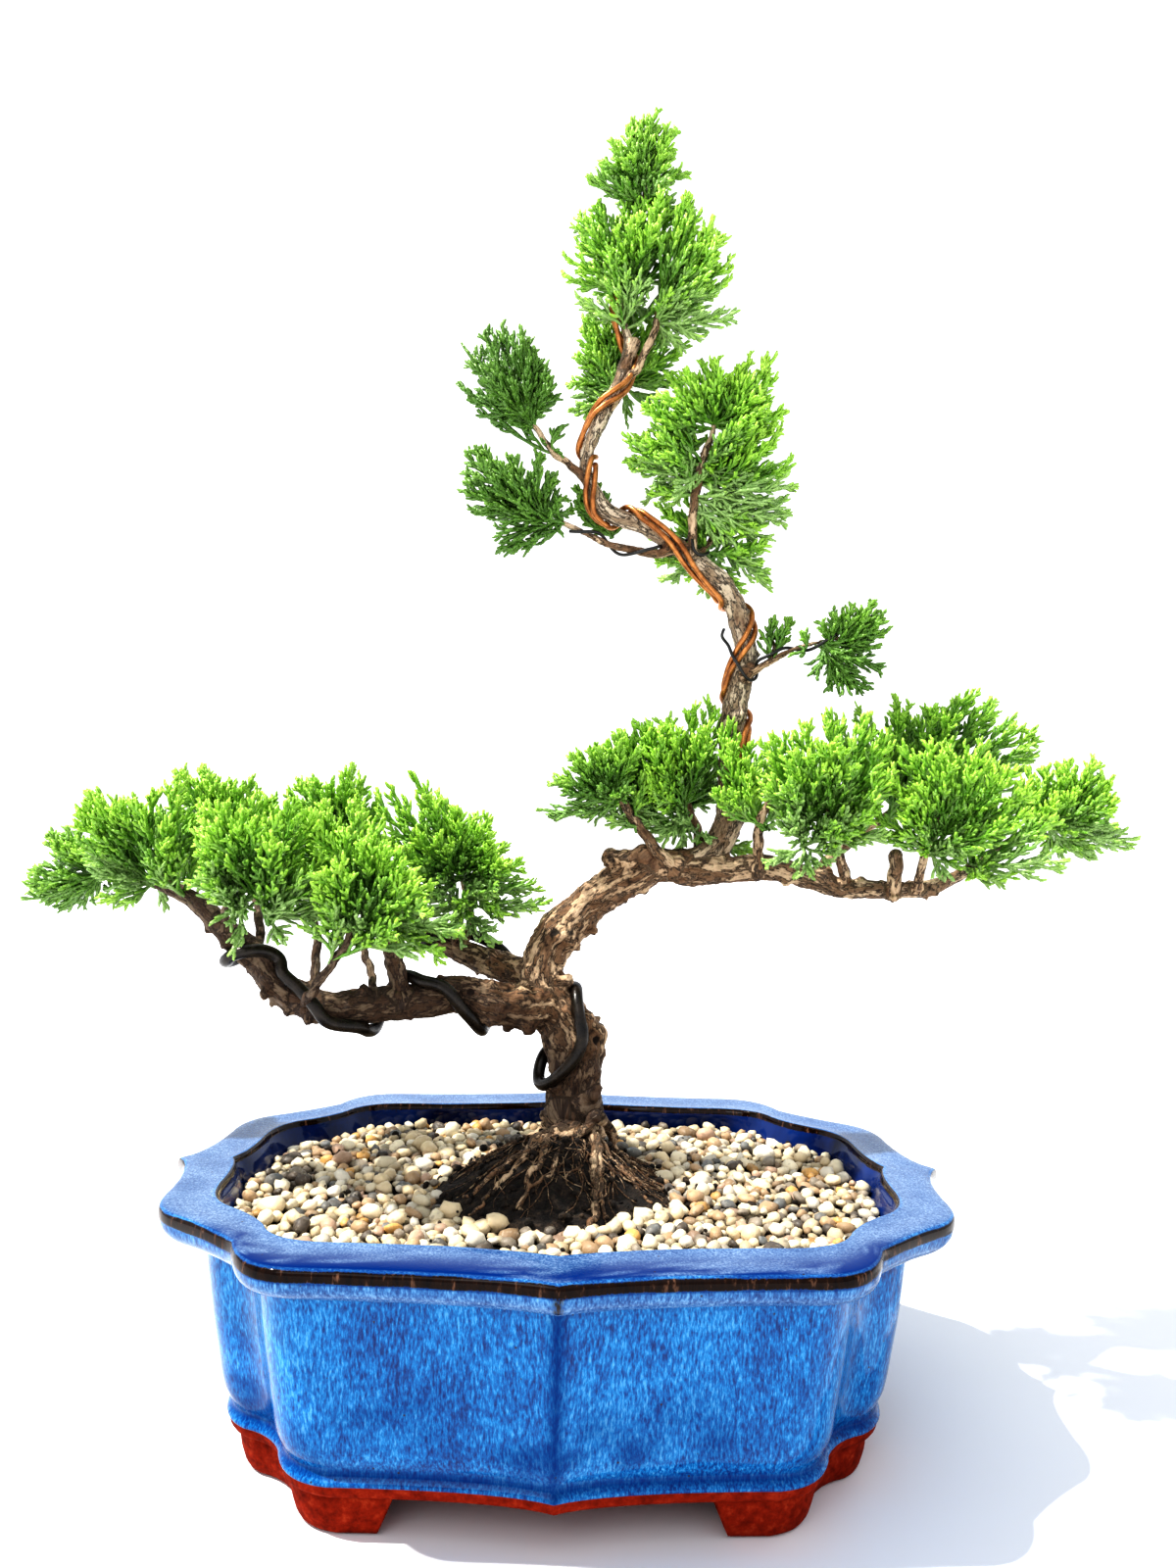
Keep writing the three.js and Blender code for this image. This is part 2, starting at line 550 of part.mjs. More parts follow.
const WIRES = {
  wire_dark_lower: { diameter: DARK_WIRE, steps: 40, points: darkLowerPoints() },
  wire_dark_back: { diameter: DARK_WIRE, steps: 16, points: darkBackPoints() },
  wire_copper_first: { diameter: COPPER_WIRE, steps: 46, points: copperPoints(0) },
  wire_copper_second: { diameter: COPPER_WIRE, steps: 46, points: copperPoints(1) },
  wire_black_sprig: {
    diameter: BLACK_WIRE,
    steps: 25,
    points: blackPoints(SPRIG_LEADER_TURNS, LIMBS.sprig, SPRIG_TURNS),
  },
  wire_black_twig: {
    diameter: BLACK_WIRE,
    steps: 25,
    points: blackPoints(CROWN_LEADER_TURNS, LIMBS.crownTwig, CROWN_TWIG_TURNS),
  },
};

function makeWire(name, grow = 0) {
  const { diameter, steps, points } = WIRES[name];
  return wire(points, diameter + 2 * grow, steps);
}

// Foliage

// Each clump is a lumpy closed stand-in for its spray of shoots: its centre, half sizes and tilt in degrees.
const CLUMPS = {
  foliage_left_tip: { at: [-137, 20, 138], size: [13, 15, 10], tilt: -10 },
  foliage_left_outer: { at: [-110, -8, 146], size: [18, 20, 14], tilt: -8 },
  foliage_left_rear: { at: [-98, 27, 152], size: [21, 19, 15], tilt: 0 },
  foliage_left_front: { at: [-74, -31, 140], size: [19, 17, 16], tilt: 0 },
  foliage_left_middle: { at: [-42, -27, 142], size: [19, 17, 18], tilt: 6 },
  foliage_left_back: { at: [-62, 33, 152], size: [20, 20, 16], tilt: 4 },
  foliage_left_inner: { at: [-26, 15, 142], size: [21, 24, 19], tilt: 14 },
  foliage_right_fan: { at: [10, 2, 163], size: [17, 15, 11], tilt: -16 },
  foliage_right_inner: { at: [32, 16, 166], size: [19, 20, 19], tilt: 0 },
  foliage_right_front: { at: [62, -18, 162], size: [19, 19, 19], tilt: 0 },
  foliage_right_back: { at: [104, 28, 170], size: [25, 20, 18], tilt: 0 },
  foliage_right_outer: { at: [100, -15, 159], size: [20, 19, 15], tilt: 0 },
  foliage_right_tip: { at: [134, 3, 156], size: [17, 18, 14], tilt: 20 },
  foliage_sprig: { at: [75, 4, 203], size: [13, 9, 10], tilt: 14 },
  foliage_crown_right_upper: { at: [38, 8, 259], size: [20, 16, 26], tilt: 0 },
  foliage_crown_right_lower: { at: [42, 18, 228], size: [14, 12, 11], tilt: 0 },
  foliage_crown_back: { at: [14, 26, 285], size: [15, 13, 15], tilt: 0 },
  foliage_apex_lower: { at: [19, 8, 308], size: [21, 18, 17], tilt: 0 },
  foliage_apex_tip: { at: [18, 13, 334], size: [14, 14, 22], tilt: 0 },
  foliage_crown_left_upper: { at: [-16, 6, 272], size: [11, 10, 18], tilt: -30 },
  foliage_crown_left_lower: { at: [-14, 6, 241], size: [16, 12, 11], tilt: 10 },
};

function lumpy({ at, size, tilt }, grow) {
  const ball = new THREE.IcosahedronGeometry(1, 1);
  const geometry = mergeVertices(ball.deleteAttribute('uv').deleteAttribute('normal'));
  const position = geometry.attributes.position;
  const point = new THREE.Vector3();
  for (let i = 0; i < position.count; i++) {
    point.fromBufferAttribute(position, i);
    const wave = Math.sin(5 * point.x + at[0]) * Math.cos(4 * point.y + 3 * point.z + at[2]);
    const flat = point.z < 0 ? CLUMP_UNDERSIDE : 1;
    const half = new THREE.Vector3(size[0] + grow, size[1] + grow, flat * size[2] + grow);
    point.multiplyScalar(1 + LUMP_DEPTH * wave).multiply(half);
    position.setXYZ(i, point.x, point.y, point.z);
  }
  geometry.rotateY(THREE.MathUtils.degToRad(tilt));
  geometry.translate(...at);
  return solid(geometry);
}

// Scene

const root = new THREE.Group();

const FINISH = {
  glaze: { color: 0x3f74b8, roughness: 0.15, metalness: 0 },
  plastic: { color: 0x1c1c1c, roughness: 0.6, metalness: 0 },
  soil: { color: 0x2a1c14, roughness: 0.95, metalness: 0 },
  gravel: { color: 0xd8c6a2, roughness: 0.7, metalness: 0 },
  bark: { color: 0x8a6546, roughness: 0.85, metalness: 0 },
  foliage: { color: 0x5fae2a, roughness: 0.6, metalness: 0 },
  darkWire: { color: 0x2c241d, roughness: 0.35, metalness: 0.6 },
  copperWire: { color: 0xb06a30, roughness: 0.3, metalness: 0.8 },
};
const materials = Object.fromEntries(
  Object.entries(FINISH).map(([name, finish]) => [name, new THREE.MeshStandardMaterial(finish)]),
);

function addPiece(name, body, material) {
  const mesh = new THREE.Mesh(geometryOf(body), materials[material].clone());
  mesh.name = name;
  root.add(mesh);
}

// The soil, gravel and foliage are cut clear of the wood and wires that pass through them.
const wireNames = Object.keys(WIRES);
const wiresGrown = join(wireNames.map((name) => makeWire(name, GAP)));
const trunkFoot = limb(LIMBS.trunk.stations.slice(0, 5), LIMBS.trunk.sides, GAP);
const groundCut = join([trunkFoot, makeWire('wire_dark_lower', GAP), ...rootPieces(GAP)]);
const foliageCut = join([wiresGrown, ...branchPieces(GAP)]);

addPiece('pot', makePot(), 'glaze');
addPiece('drain_screen_left', makeScreen(-DRAIN_OFFSET), 'plastic');
addPiece('drain_screen_right', makeScreen(DRAIN_OFFSET), 'plastic');
addPiece('soil', makeSoil(groundCut, [-DRAIN_OFFSET, DRAIN_OFFSET]), 'soil');
addPiece('gravel', makeGravel(groundCut), 'gravel');
addPiece('tree_wood', makeWood(wiresGrown), 'bark');
for (const name of wireNames) {
  addPiece(name, makeWire(name), name.includes('copper') ? 'copperWire' : 'darkWire');
}
const placed = [];
for (const [name, clump] of Object.entries(CLUMPS)) {
  const neighbours = placed.map((other) => lumpy(other, GAP));
  addPiece(name, largest(lumpy(clump, 0).subtract(join([foliageCut, ...neighbours]))), 'foliage');
  placed.push(clump);
}

export default root;
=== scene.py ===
# Shimpaku juniper bonsai in a lobed glazed pot. Lengths below are in millimetres until a mesh is made.
# +Z is up and +Y is away from the viewer. The origin is on the ground under the middle of the pot.

import math

import bpy
import numpy as np
from mathutils import Matrix, Vector, kdtree


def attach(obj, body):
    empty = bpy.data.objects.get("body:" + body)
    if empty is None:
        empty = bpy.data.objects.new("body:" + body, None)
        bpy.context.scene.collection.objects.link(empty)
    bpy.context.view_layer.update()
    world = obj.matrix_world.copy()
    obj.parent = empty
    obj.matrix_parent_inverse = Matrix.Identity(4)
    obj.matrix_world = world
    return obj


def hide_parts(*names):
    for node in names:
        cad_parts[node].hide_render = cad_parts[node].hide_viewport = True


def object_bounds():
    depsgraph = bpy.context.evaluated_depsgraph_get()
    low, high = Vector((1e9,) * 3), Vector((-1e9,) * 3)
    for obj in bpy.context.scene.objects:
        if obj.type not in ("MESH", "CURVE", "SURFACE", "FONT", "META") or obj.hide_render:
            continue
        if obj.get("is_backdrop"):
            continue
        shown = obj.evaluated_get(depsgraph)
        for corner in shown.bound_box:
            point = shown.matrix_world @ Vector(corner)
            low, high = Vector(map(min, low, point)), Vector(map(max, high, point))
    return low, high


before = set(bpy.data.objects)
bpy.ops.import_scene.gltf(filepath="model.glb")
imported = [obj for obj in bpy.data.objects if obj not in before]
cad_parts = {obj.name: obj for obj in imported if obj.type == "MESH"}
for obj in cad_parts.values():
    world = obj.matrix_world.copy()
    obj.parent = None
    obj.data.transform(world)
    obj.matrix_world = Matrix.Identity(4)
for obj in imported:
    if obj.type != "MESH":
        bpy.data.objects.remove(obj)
CAD_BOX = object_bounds()

MM = 0.001
UP = np.array([0.0, 0.0, 1.0])

# Mesh helpers


def build_mesh(name, verts, quads, tris=(), attributes=None):
    """Smooth-shaded object from arrays of points in millimetres and of quads and triangles."""
    verts = np.asarray(verts, float)
    quads = np.asarray(quads, int).reshape(-1, 4)
    tris = np.asarray(tris, int).reshape(-1, 3)
    mesh = bpy.data.meshes.new(name)
    mesh.vertices.add(len(verts))
    mesh.vertices.foreach_set("co", (verts * MM).ravel())
    mesh.loops.add(quads.size + tris.size)
    mesh.loops.foreach_set("vertex_index", np.concatenate([quads.ravel(), tris.ravel()]))
    starts = np.concatenate([np.arange(len(quads)) * 4, quads.size + np.arange(len(tris)) * 3])
    mesh.polygons.add(len(starts))
    mesh.polygons.foreach_set("loop_start", starts)
    mesh.polygons.foreach_set("use_smooth", np.full(len(starts), True))
    mesh.update(calc_edges=True)
    for key, values in (attributes or {}).items():
        set_attribute(mesh, key, values)
    obj = bpy.data.objects.new(name, mesh)
    bpy.context.scene.collection.objects.link(obj)
    return obj


def set_attribute(mesh, key, values):
    values = np.asarray(values, np.float32)
    if values.ndim == 1:
        layer = mesh.attributes.new(key, "FLOAT", "POINT")
        layer.data.foreach_set("value", values)
    else:
        layer = mesh.attributes.new(key, "FLOAT_COLOR", "POINT")
        rgba = np.concatenate([values, np.ones((len(values), 1), np.float32)], axis=1)
        layer.data.foreach_set("color", rgba.ravel())


def finish_piece(obj, material, slot, *nodes):
    """Gives a piece its material and says what it rides on and which frame nodes it replaces."""
    obj.data.materials.clear()
    obj.data.materials.append(material)
    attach(obj, "root")
    if nodes:
        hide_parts(*nodes)


def points_of(obj):
    co = np.zeros(len(obj.data.vertices) * 3, np.float32)
    obj.data.vertices.foreach_get("co", co)
    return co.reshape(-1, 3).astype(float) / MM


def normals_of(obj):
    values = np.zeros(len(obj.data.vertices) * 3, np.float32)
    obj.data.vertex_normals.foreach_get("vector", values)
    return values.reshape(-1, 3).astype(float)


def apply_modifiers(obj):
    graph = bpy.context.evaluated_depsgraph_get()
    baked = bpy.data.meshes.new_from_object(obj.evaluated_get(graph))
    obj.modifiers.clear()
    obj.data = baked


def faces_of(obj):
    """The quads of a mesh, and its triangles with those that its larger faces are cut into."""
    mesh = obj.data
    mesh.calc_loop_triangles()
    sizes = np.array([len(p.vertices) for p in mesh.polygons])
    quads = np.array([p.vertices[:] for p, s in zip(mesh.polygons, sizes) if s == 4])
    corners = np.zeros(len(mesh.loop_triangles) * 3, int)
    owners = np.zeros(len(mesh.loop_triangles), int)
    mesh.loop_triangles.foreach_get("vertices", corners)
    mesh.loop_triangles.foreach_get("polygon_index", owners)
    corners = corners.reshape(-1, 3)
    return quads, np.concatenate([corners[sizes[owners] == 3], corners[sizes[owners] > 4]])


def point_tree(points):
    """Search tree that finds the nearest of the points to a place."""
    tree = kdtree.KDTree(len(points))
    for i, point in enumerate(points):
        tree.insert(point, i)
    tree.balance()
    return tree


def lengths_along(points):
    """How far along a line of points each of them lies."""
    return np.concatenate([[0], np.cumsum(np.linalg.norm(np.diff(points, axis=0), axis=1))])


def grid_faces(rows, columns, wrap=True):
    """Quads between successive rows of points; each row closes on itself when wrap is set."""
    last = columns if wrap else columns - 1
    i, j = np.meshgrid(np.arange(rows - 1), np.arange(last), indexing="ij")
    a = i * columns + j
    b = i * columns + (j + 1) % columns
    return np.stack([a, b, b + columns, a + columns], axis=-1).reshape(-1, 4)


def fan(centre, row, flip=False):
    """Triangles from one point to a closed row of points."""
    turned = np.roll(row, -1)
    tris = np.stack([np.full(len(row), centre), row, turned], axis=1)
    return tris[:, ::-1] if flip else tris


def capped(count, size):
    """Faces over rings of points, closed by fans to the two points that come after the last ring."""
    first = np.arange(size)
    tris = [fan(count * size, first, flip=True), fan(count * size + 1, (count - 1) * size + first)]
    return grid_faces(count, size), np.concatenate(tris)


def merged(parts):
    """Several (verts, quads, tris) as one."""
    verts, quads, tris, base = [], [], [], 0
    for v, q, t in parts:
        verts.append(v)
        quads.append(q + base)
        tris.append(t + base)
        base += len(v)
    return np.concatenate(verts), np.concatenate(quads), np.concatenate(tris)


def turns_round(count):
    """Evenly spaced angles round a full turn."""
    return np.arange(count) * 2 * math.pi / count


def ball(centre, radius, around=12, up=7):
    """Sphere of around and up faces, or ellipsoid where the radius is three numbers."""
    tilt = np.arange(1, up) * math.pi / up
    turn = turns_round(around)
    grid = np.stack([
        np.sin(tilt)[:, None] * np.cos(turn), np.sin(tilt)[:, None] * np.sin(turn),
        np.cos(tilt)[:, None] * np.ones(around),
    ], axis=-1)
    verts = np.concatenate([grid.reshape(-1, 3), [[0, 0, 1], [0, 0, -1]]])
    quads = grid_faces(up - 1, around)[:, ::-1]
    first = np.arange(around)
    tris = np.concatenate([
        fan(len(verts) - 2, first), fan(len(verts) - 1, (up - 2) * around + first, flip=True),
    ])
    return verts * radius + centre, quads, tris


# Noise, on arrays of points


def lattice(ix, iy, iz, seed):
    h = (ix * 374761393 + iy * 668265263 + iz * 1442695041 + seed * 974634777) & 0xFFFFFFFF
    h = ((h ^ (h >> 13)) * 1274126177) & 0xFFFFFFFF
    h = ((h ^ (h >> 15)) * 2246822519) & 0xFFFFFFFF
    return ((h ^ (h >> 16)) & 0xFFFF) / 65535.0


def noise(p, seed):
    """Smooth noise from 0 to 1 with features one unit wide."""
    cell = np.floor(p).astype(np.int64)
    part = p - cell
    ease = part * part * (3 - 2 * part)
    total = np.zeros(len(p))
    for corner in range(8):
        step = [(corner >> k) & 1 for k in range(3)]
        weight = np.ones(len(p))
        for k in range(3):
            weight *= ease[:, k] if step[k] else 1 - ease[:, k]
        total += weight * lattice(cell[:, 0] + step[0], cell[:, 1] + step[1], cell[:, 2] + step[2], seed)
    return total


def fractal(p, octaves, seed):
    total, size, reach = 0.0, 1.0, 0.0
    for k in range(octaves):
        total = total + size * noise(p * 2.0**k, seed + 17 * k)
        reach += size
        size *= 0.5
    return total / reach


def plates(p, seed):
    """Distances to the nearest and the second nearest point of a random set, one point per unit cell."""
    cell = np.floor(p).astype(np.int64)
    nearest = np.full(len(p), 9.0)
    second = np.full(len(p), 9.0)
    for i in (-1, 0, 1):
        for j in (-1, 0, 1):
            for k in (-1, 0, 1):
                c = cell + [i, j, k]
                spot = np.stack([lattice(c[:, 0], c[:, 1], c[:, 2], seed + m) for m in range(3)], axis=1)
                d = np.linalg.norm(c + spot - p, axis=1)
                second = np.minimum(second, np.maximum(nearest, d))
                nearest = np.minimum(nearest, d)
    return nearest, second


def unit(v):
    v = np.asarray(v, float)
    return v / np.maximum(np.linalg.norm(v, axis=-1, keepdims=True), 1e-9)


def smoothstep(low, high, x):
    t = np.clip((x - low) / (high - low), 0, 1)
    return t * t * (3 - 2 * t)


# Materials

# Numbers of the colour sockets of a mix node.
MIX_FIRST = 6
MIX_SECOND = 7
MIX_RESULT = 2


class Nodes:
    """Builds a material's node tree one node at a time."""

    def __init__(self, name, **sockets):
        self.material = bpy.data.materials.new(name)
        self.material.use_nodes = True
        self.tree = self.material.node_tree
        self.shader = self.tree.nodes["Principled BSDF"]
        for key, value in sockets.items():
            self.shader.inputs[key.replace("_", " ")].default_value = value
        self.place = self.add("ShaderNodeTexCoord").outputs["Object"]

    def add(self, kind, **settings):
        node = self.tree.nodes.new(kind)
        for key, value in settings.items():
            setattr(node, key, value)
        return node

    def put(self, socket, value):
        if isinstance(value, bpy.types.NodeSocket):
            self.tree.links.new(value, socket)
        elif isinstance(value, tuple) and len(value) == 3 and socket.type == "RGBA":
            socket.default_value = (*value, 1.0)
        else:
            socket.default_value = value

    def attribute(self, key, output="Fac"):
        return self.add("ShaderNodeAttribute", attribute_name=key).outputs[output]

    def noise(self, scale, detail=3.0, roughness=0.55, stretch=(1, 1, 1)):
        mapping = self.add("ShaderNodeMapping")
        self.put(mapping.inputs["Vector"], self.place)
        mapping.inputs["Scale"].default_value = stretch
        node = self.add("ShaderNodeTexNoise")
        self.put(node.inputs["Vector"], mapping.outputs["Vector"])
        node.inputs["Scale"].default_value = scale
        node.inputs["Detail"].default_value = detail
        node.inputs["Roughness"].default_value = roughness
        return node.outputs["Fac"]

    def cells(self, scale):
        """Distance to the nearest of many scattered points."""
        node = self.add("ShaderNodeTexVoronoi")
        self.put(node.inputs["Vector"], self.place)
        node.inputs["Scale"].default_value = scale
        return node.outputs["Distance"]

    def ramp(self, value, *stops):
        """Blends between stops of (place, colour or grey)."""
        node = self.add("ShaderNodeValToRGB")
        elements = node.color_ramp.elements
        while len(elements) < len(stops):
            elements.new(0.5)
        for element, (place, colour) in zip(elements, stops):
            element.position = place
            element.color = (*colour, 1.0) if isinstance(colour, tuple) else (colour, colour, colour, 1.0)
        self.put(node.inputs["Fac"], value)
        return node.outputs["Color"]

    def mix(self, share, a, b):
        node = self.add("ShaderNodeMix", data_type="RGBA")
        self.put(node.inputs[0], share)
        self.put(node.inputs[MIX_FIRST], a)
        self.put(node.inputs[MIX_SECOND], b)
        return node.outputs[MIX_RESULT]

    def math(self, operation, a, b=0.0, clamp=False):
        node = self.add("ShaderNodeMath", operation=operation, use_clamp=clamp)
        self.put(node.inputs[0], a)
        self.put(node.inputs[1], b)
        return node.outputs[0]

    def scaled(self, value, factor):
        return self.math("MULTIPLY", value, factor)

    def bump(self, height, distance, strength):
        node = self.add("ShaderNodeBump")
        node.inputs["Distance"].default_value = distance
        node.inputs["Strength"].default_value = strength
        self.put(node.inputs["Height"], height)
        return node.outputs["Normal"]

    def done(self, colour, roughness, normal=None):
        self.put(self.shader.inputs["Base Color"], colour)
        self.put(self.shader.inputs["Roughness"], roughness)
        if normal is not None:
            self.put(self.shader.inputs["Normal"], normal)
        return self.material


CLEAR_COAT = 0.55
# Deep cobalt of pooled glaze, also painted on the rim's front top as a dark reflection.
POOL_AND_REFLECTION_COLOUR = (0.0, 0.022, 0.135)
SPECK_COLOUR = (0.03, 0.012, 0.008)
SHADED_CRACK_COLOUR = (0.006, 0.003, 0.0015)
WET_AND_SHADED_BARK = (0.026, 0.011, 0.006)


def glaze_material():
    """Streaked blue glaze that breaks to brown on the rim's edges, over red clay at the foot, with
    reflections on the rim painted into its colour.
    """
    n = Nodes("glaze", Coat_Roughness=0.03, Specular_IOR_Level=0.03)
    streaks = n.noise(2100, 3, 0.65, (1, 1, 0.24))
    brushed = n.noise(760, 3, 0.6, (1, 1, 0.30))
    drift = n.noise(55, 4, 0.6, (1, 1, 0.6))
    grain = n.noise(2600, 2, 0.6)
    shade = n.math("ADD", n.scaled(streaks, 0.54), n.scaled(drift, 0.26))
    shade = n.math("ADD", shade, n.scaled(brushed, 0.20))
    wall = n.ramp(
        shade, (0.38, (0.0, 0.020, 0.12)), (0.45, (0.0, 0.065, 0.24)), (0.50, (0.001, 0.125, 0.36)),
        (0.55, (0.008, 0.205, 0.48)), (0.65, (0.11, 0.37, 0.64)),
    )
    # Painted reflection: a pale greyish blue stands in for the bright backdrop mirrored in the glaze.
    painted_reflection = n.ramp(shade, (0.38, (0.01, 0.05, 0.17)), (0.5, (0.06, 0.13, 0.28)), (0.62, (0.20, 0.30, 0.45)))
    navy = n.ramp(drift, (0.3, (0.0015, 0.006, 0.04)), (0.7, (0.006, 0.03, 0.16)))
    colour = n.mix(n.attribute("painted_reflection"), wall, painted_reflection)
    # Pooled glaze, and on the rim's front top a painted dark reflection, in deep cobalt.
    colour = n.mix(n.attribute("pool_and_dark_reflection"), colour, POOL_AND_REFLECTION_COLOUR)
    colour = n.mix(n.attribute("inner"), colour, navy)
    ragged = n.math("ADD", n.attribute("edge"), n.scaled(n.math("SUBTRACT", drift, 0.5), 0.9))
    ragged = n.math("ADD", ragged, n.scaled(n.math("SUBTRACT", streaks, 0.5), 0.5))
    rust = n.ramp(
        brushed, (0.3, (0.003, 0.001, 0.001)), (0.58, (0.014, 0.005, 0.002)), (0.74, (0.15, 0.075, 0.045)),
    )
    colour = n.mix(n.ramp(ragged, (0.52, 0.0), (0.66, 1.0)), colour, rust)
    specks = n.ramp(n.cells(190), (0.035, 1.0), (0.06, 0.0))
    colour = n.mix(n.scaled(specks, 0.85), colour, SPECK_COLOUR)
    fired = n.noise(420, 4, 0.65)
    clay = n.ramp(
        fired, (0.3, (0.105, 0.008, 0.003)), (0.55, (0.22, 0.018, 0.006)), (0.75, (0.33, 0.045, 0.016)),
    )
    pits = n.ramp(n.cells(700), (0.10, 1.0), (0.2, 0.0))
    clay = n.mix(n.scaled(pits, 0.35), clay, (0.09, 0.016, 0.008))
    is_clay = n.ramp(n.attribute("clay"), (0.45, 0.0), (0.55, 1.0))
    colour = n.mix(is_clay, colour, clay)
    rough = n.mix(is_clay, n.ramp(grain, (0.3, 0.06), (0.8, 0.2)), (0.72, 0.72, 0.72))
    height = n.mix(is_clay, n.scaled(streaks, 0.5), n.noise(900, 3))
    dull = n.math("MAXIMUM", n.attribute("pool_and_dark_reflection"), n.scaled(is_clay, 0.5))
    coat = n.math("SUBTRACT", CLEAR_COAT, n.scaled(dull, CLEAR_COAT - 0.02))
    n.put(n.shader.inputs["Coat Weight"], n.math("SUBTRACT", coat, is_clay, clamp=True))
    return n.done(colour, rough, n.bump(height, 0.0004, 0.35))


def soil_material():
    n = Nodes("soil")
    lumps = n.noise(420, 5, 0.65)
    fine = n.noise(1500, 3, 0.6)
    colour = n.ramp(
        lumps, (0.34, (0.003, 0.002, 0.0015)), (0.52, (0.018, 0.011, 0.007)), (0.76, (0.10, 0.065, 0.040)),
    )
    fleck = n.ramp(n.cells(600), (0.05, 1.0), (0.12, 0.0))
    colour = n.mix(n.scaled(fleck, 0.4), colour, (0.16, 0.10, 0.055))
    return n.done(colour, 0.9, n.bump(n.math("ADD", lumps, fine), 0.0012, 0.9))


def pebble_material():
    n = Nodes("pebbles")
    stone = n.attribute("stone", "Color")
    drift = n.noise(260, 4, 0.6)
    veins = n.noise(700, 3, 0.7)
    darkened = n.mix(0.55, stone, (0.30, 0.20, 0.11))
    colour = n.mix(n.ramp(drift, (0.35, 0.0), (0.75, 0.5)), stone, darkened)
    colour = n.mix(n.ramp(veins, (0.55, 0.0), (0.8, 0.45)), colour, (0.80, 0.74, 0.62))
    dirt = n.ramp(n.cells(330), (0.10, 1.0), (0.22, 0.0))
    colour = n.mix(n.scaled(dirt, 0.35), colour, (0.05, 0.03, 0.018))
    return n.done(colour, n.ramp(drift, (0.3, 0.42), (0.8, 0.68)), n.bump(veins, 0.0005, 0.5))


def bark_material():
    """Flaking bark: brown on old wood, grey on young, dark in its cracks, partly with painted shade, where it
    is wet, and where shade is painted on the lower trunk.
    """
    n = Nodes("bark")
    relief = n.attribute("relief")
    drift = n.noise(130, 4, 0.6)
    n.place = n.attribute("grain", "Vector")
    fibre = n.noise(1500, 4, 0.7)
    flakes = n.noise(460, 5, 0.66)
    old = n.ramp(
        flakes, (0.30, (0.065, 0.029, 0.012)), (0.42, (0.22, 0.116, 0.054)), (0.51, (0.39, 0.238, 0.128)),
        (0.62, (0.72, 0.520, 0.330)),
    )
    grey = n.ramp(flakes, (0.30, (0.12, 0.08, 0.05)), (0.44, (0.46, 0.34, 0.22)), (0.58, (0.80, 0.66, 0.49)))
    colour = n.mix(n.attribute("young"), old, grey)
    colour = n.mix(n.ramp(drift, (0.48, 0.0), (0.72, 0.45)), colour, (0.21, 0.090, 0.036))
    # Cracks, seams and fibre grooves are darkened: partly their own colour, partly painted shade in these
    # recesses.
    colour = n.mix(n.ramp(relief, (0.45, 0.96), (0.56, 0.42), (0.65, 0.0)), colour, SHADED_CRACK_COLOUR)
    seam = n.math("ABSOLUTE", n.math("SUBTRACT", flakes, 0.5))
    colour = n.mix(n.ramp(seam, (0.012, 0.9), (0.045, 0.0)), colour, (0.008, 0.004, 0.002))
    colour = n.mix(n.ramp(fibre, (0.30, 0.7), (0.43, 0.0)), colour, (0.020, 0.010, 0.005))
    # Wet roots, and the painted shade on the lower trunk, darken the bark toward this colour.
    colour = n.mix(n.attribute("wet_and_shade"), colour, WET_AND_SHADED_BARK)
    height = n.math("ADD", fibre, n.math("MULTIPLY", seam, 3.0, clamp=True))
    return n.done(colour, n.ramp(relief, (0.4, 0.95), (0.9, 0.62)), n.bump(height, 0.0009, 0.9))


def wire_material(name, dark, light, metallic, roughness):
    n = Nodes(name, Metallic=metallic)
    drawn = n.noise(300, 3, 0.6)
    scuffs = n.noise(1400, 4, 0.7)
    rough = n.ramp(scuffs, (0.3, roughness - 0.08), (0.8, roughness + 0.14))
    return n.done(n.ramp(drawn, (0.3, dark), (0.75, light)), rough, n.bump(scuffs, 0.0002, 0.25))


def screen_material():
    n = Nodes("screen")
    moulded = n.noise(900, 3, 0.6)
    colour = n.ramp(moulded, (0.3, (0.012, 0.012, 0.012)), (0.8, (0.035, 0.034, 0.033)))
    return n.done(colour, n.ramp(moulded, (0.3, 0.5), (0.8, 0.75)), n.bump(moulded, 0.0003, 0.4))


def foliage_material():
    """Scale leaves: the piece's colours say how bright and how grey the green is at each place, and how much
    painted shade darkens it.
    """
    n = Nodes("foliage")
    leaf = n.add("ShaderNodeSeparateColor")
    n.put(leaf.inputs[0], n.attribute("leaf", "Color"))
    bright, grey, painted_shade = leaf.outputs
    drift = n.noise(90, 3, 0.6)
    scales = n.cells(1050)
    green = n.ramp(
        drift, (0.3, (0.088, 0.28, 0.013)), (0.55, (0.155, 0.405, 0.02)), (0.8, (0.23, 0.5, 0.034)),
    )
    # Grey-green: partly the glaucous bloom of the cords, partly a painted highlight.
    colour = n.mix(n.scaled(grey, 0.70), green, (0.39, 0.54, 0.23))
    # Painted shade: shoots deep in a clump, and stems near their bases, are darkened toward a deep green.
    colour = n.mix(n.scaled(painted_shade, 0.62), colour, (0.034, 0.100, 0.010))
    tips = n.ramp(drift, (0.3, (0.30, 0.62, 0.040)), (0.75, (0.48, 0.78, 0.085)))
    colour = n.mix(n.ramp(bright, (0.12, 0.0), (0.80, 1.0)), colour, tips)
    edges = n.scaled(n.ramp(scales, (0.10, 0.0), (0.55, 1.0)), 0.36)
    colour = n.mix(edges, colour, n.mix(0.45, colour, (0.40, 0.55, 0.20)))
    middles = n.scaled(n.ramp(scales, (0.0, 1.0), (0.28, 0.0)), 0.35)
    colour = n.mix(middles, colour, (0.008, 0.035, 0.005))
    return n.done(colour, 0.42, n.bump(scales, 0.0006, 0.7))


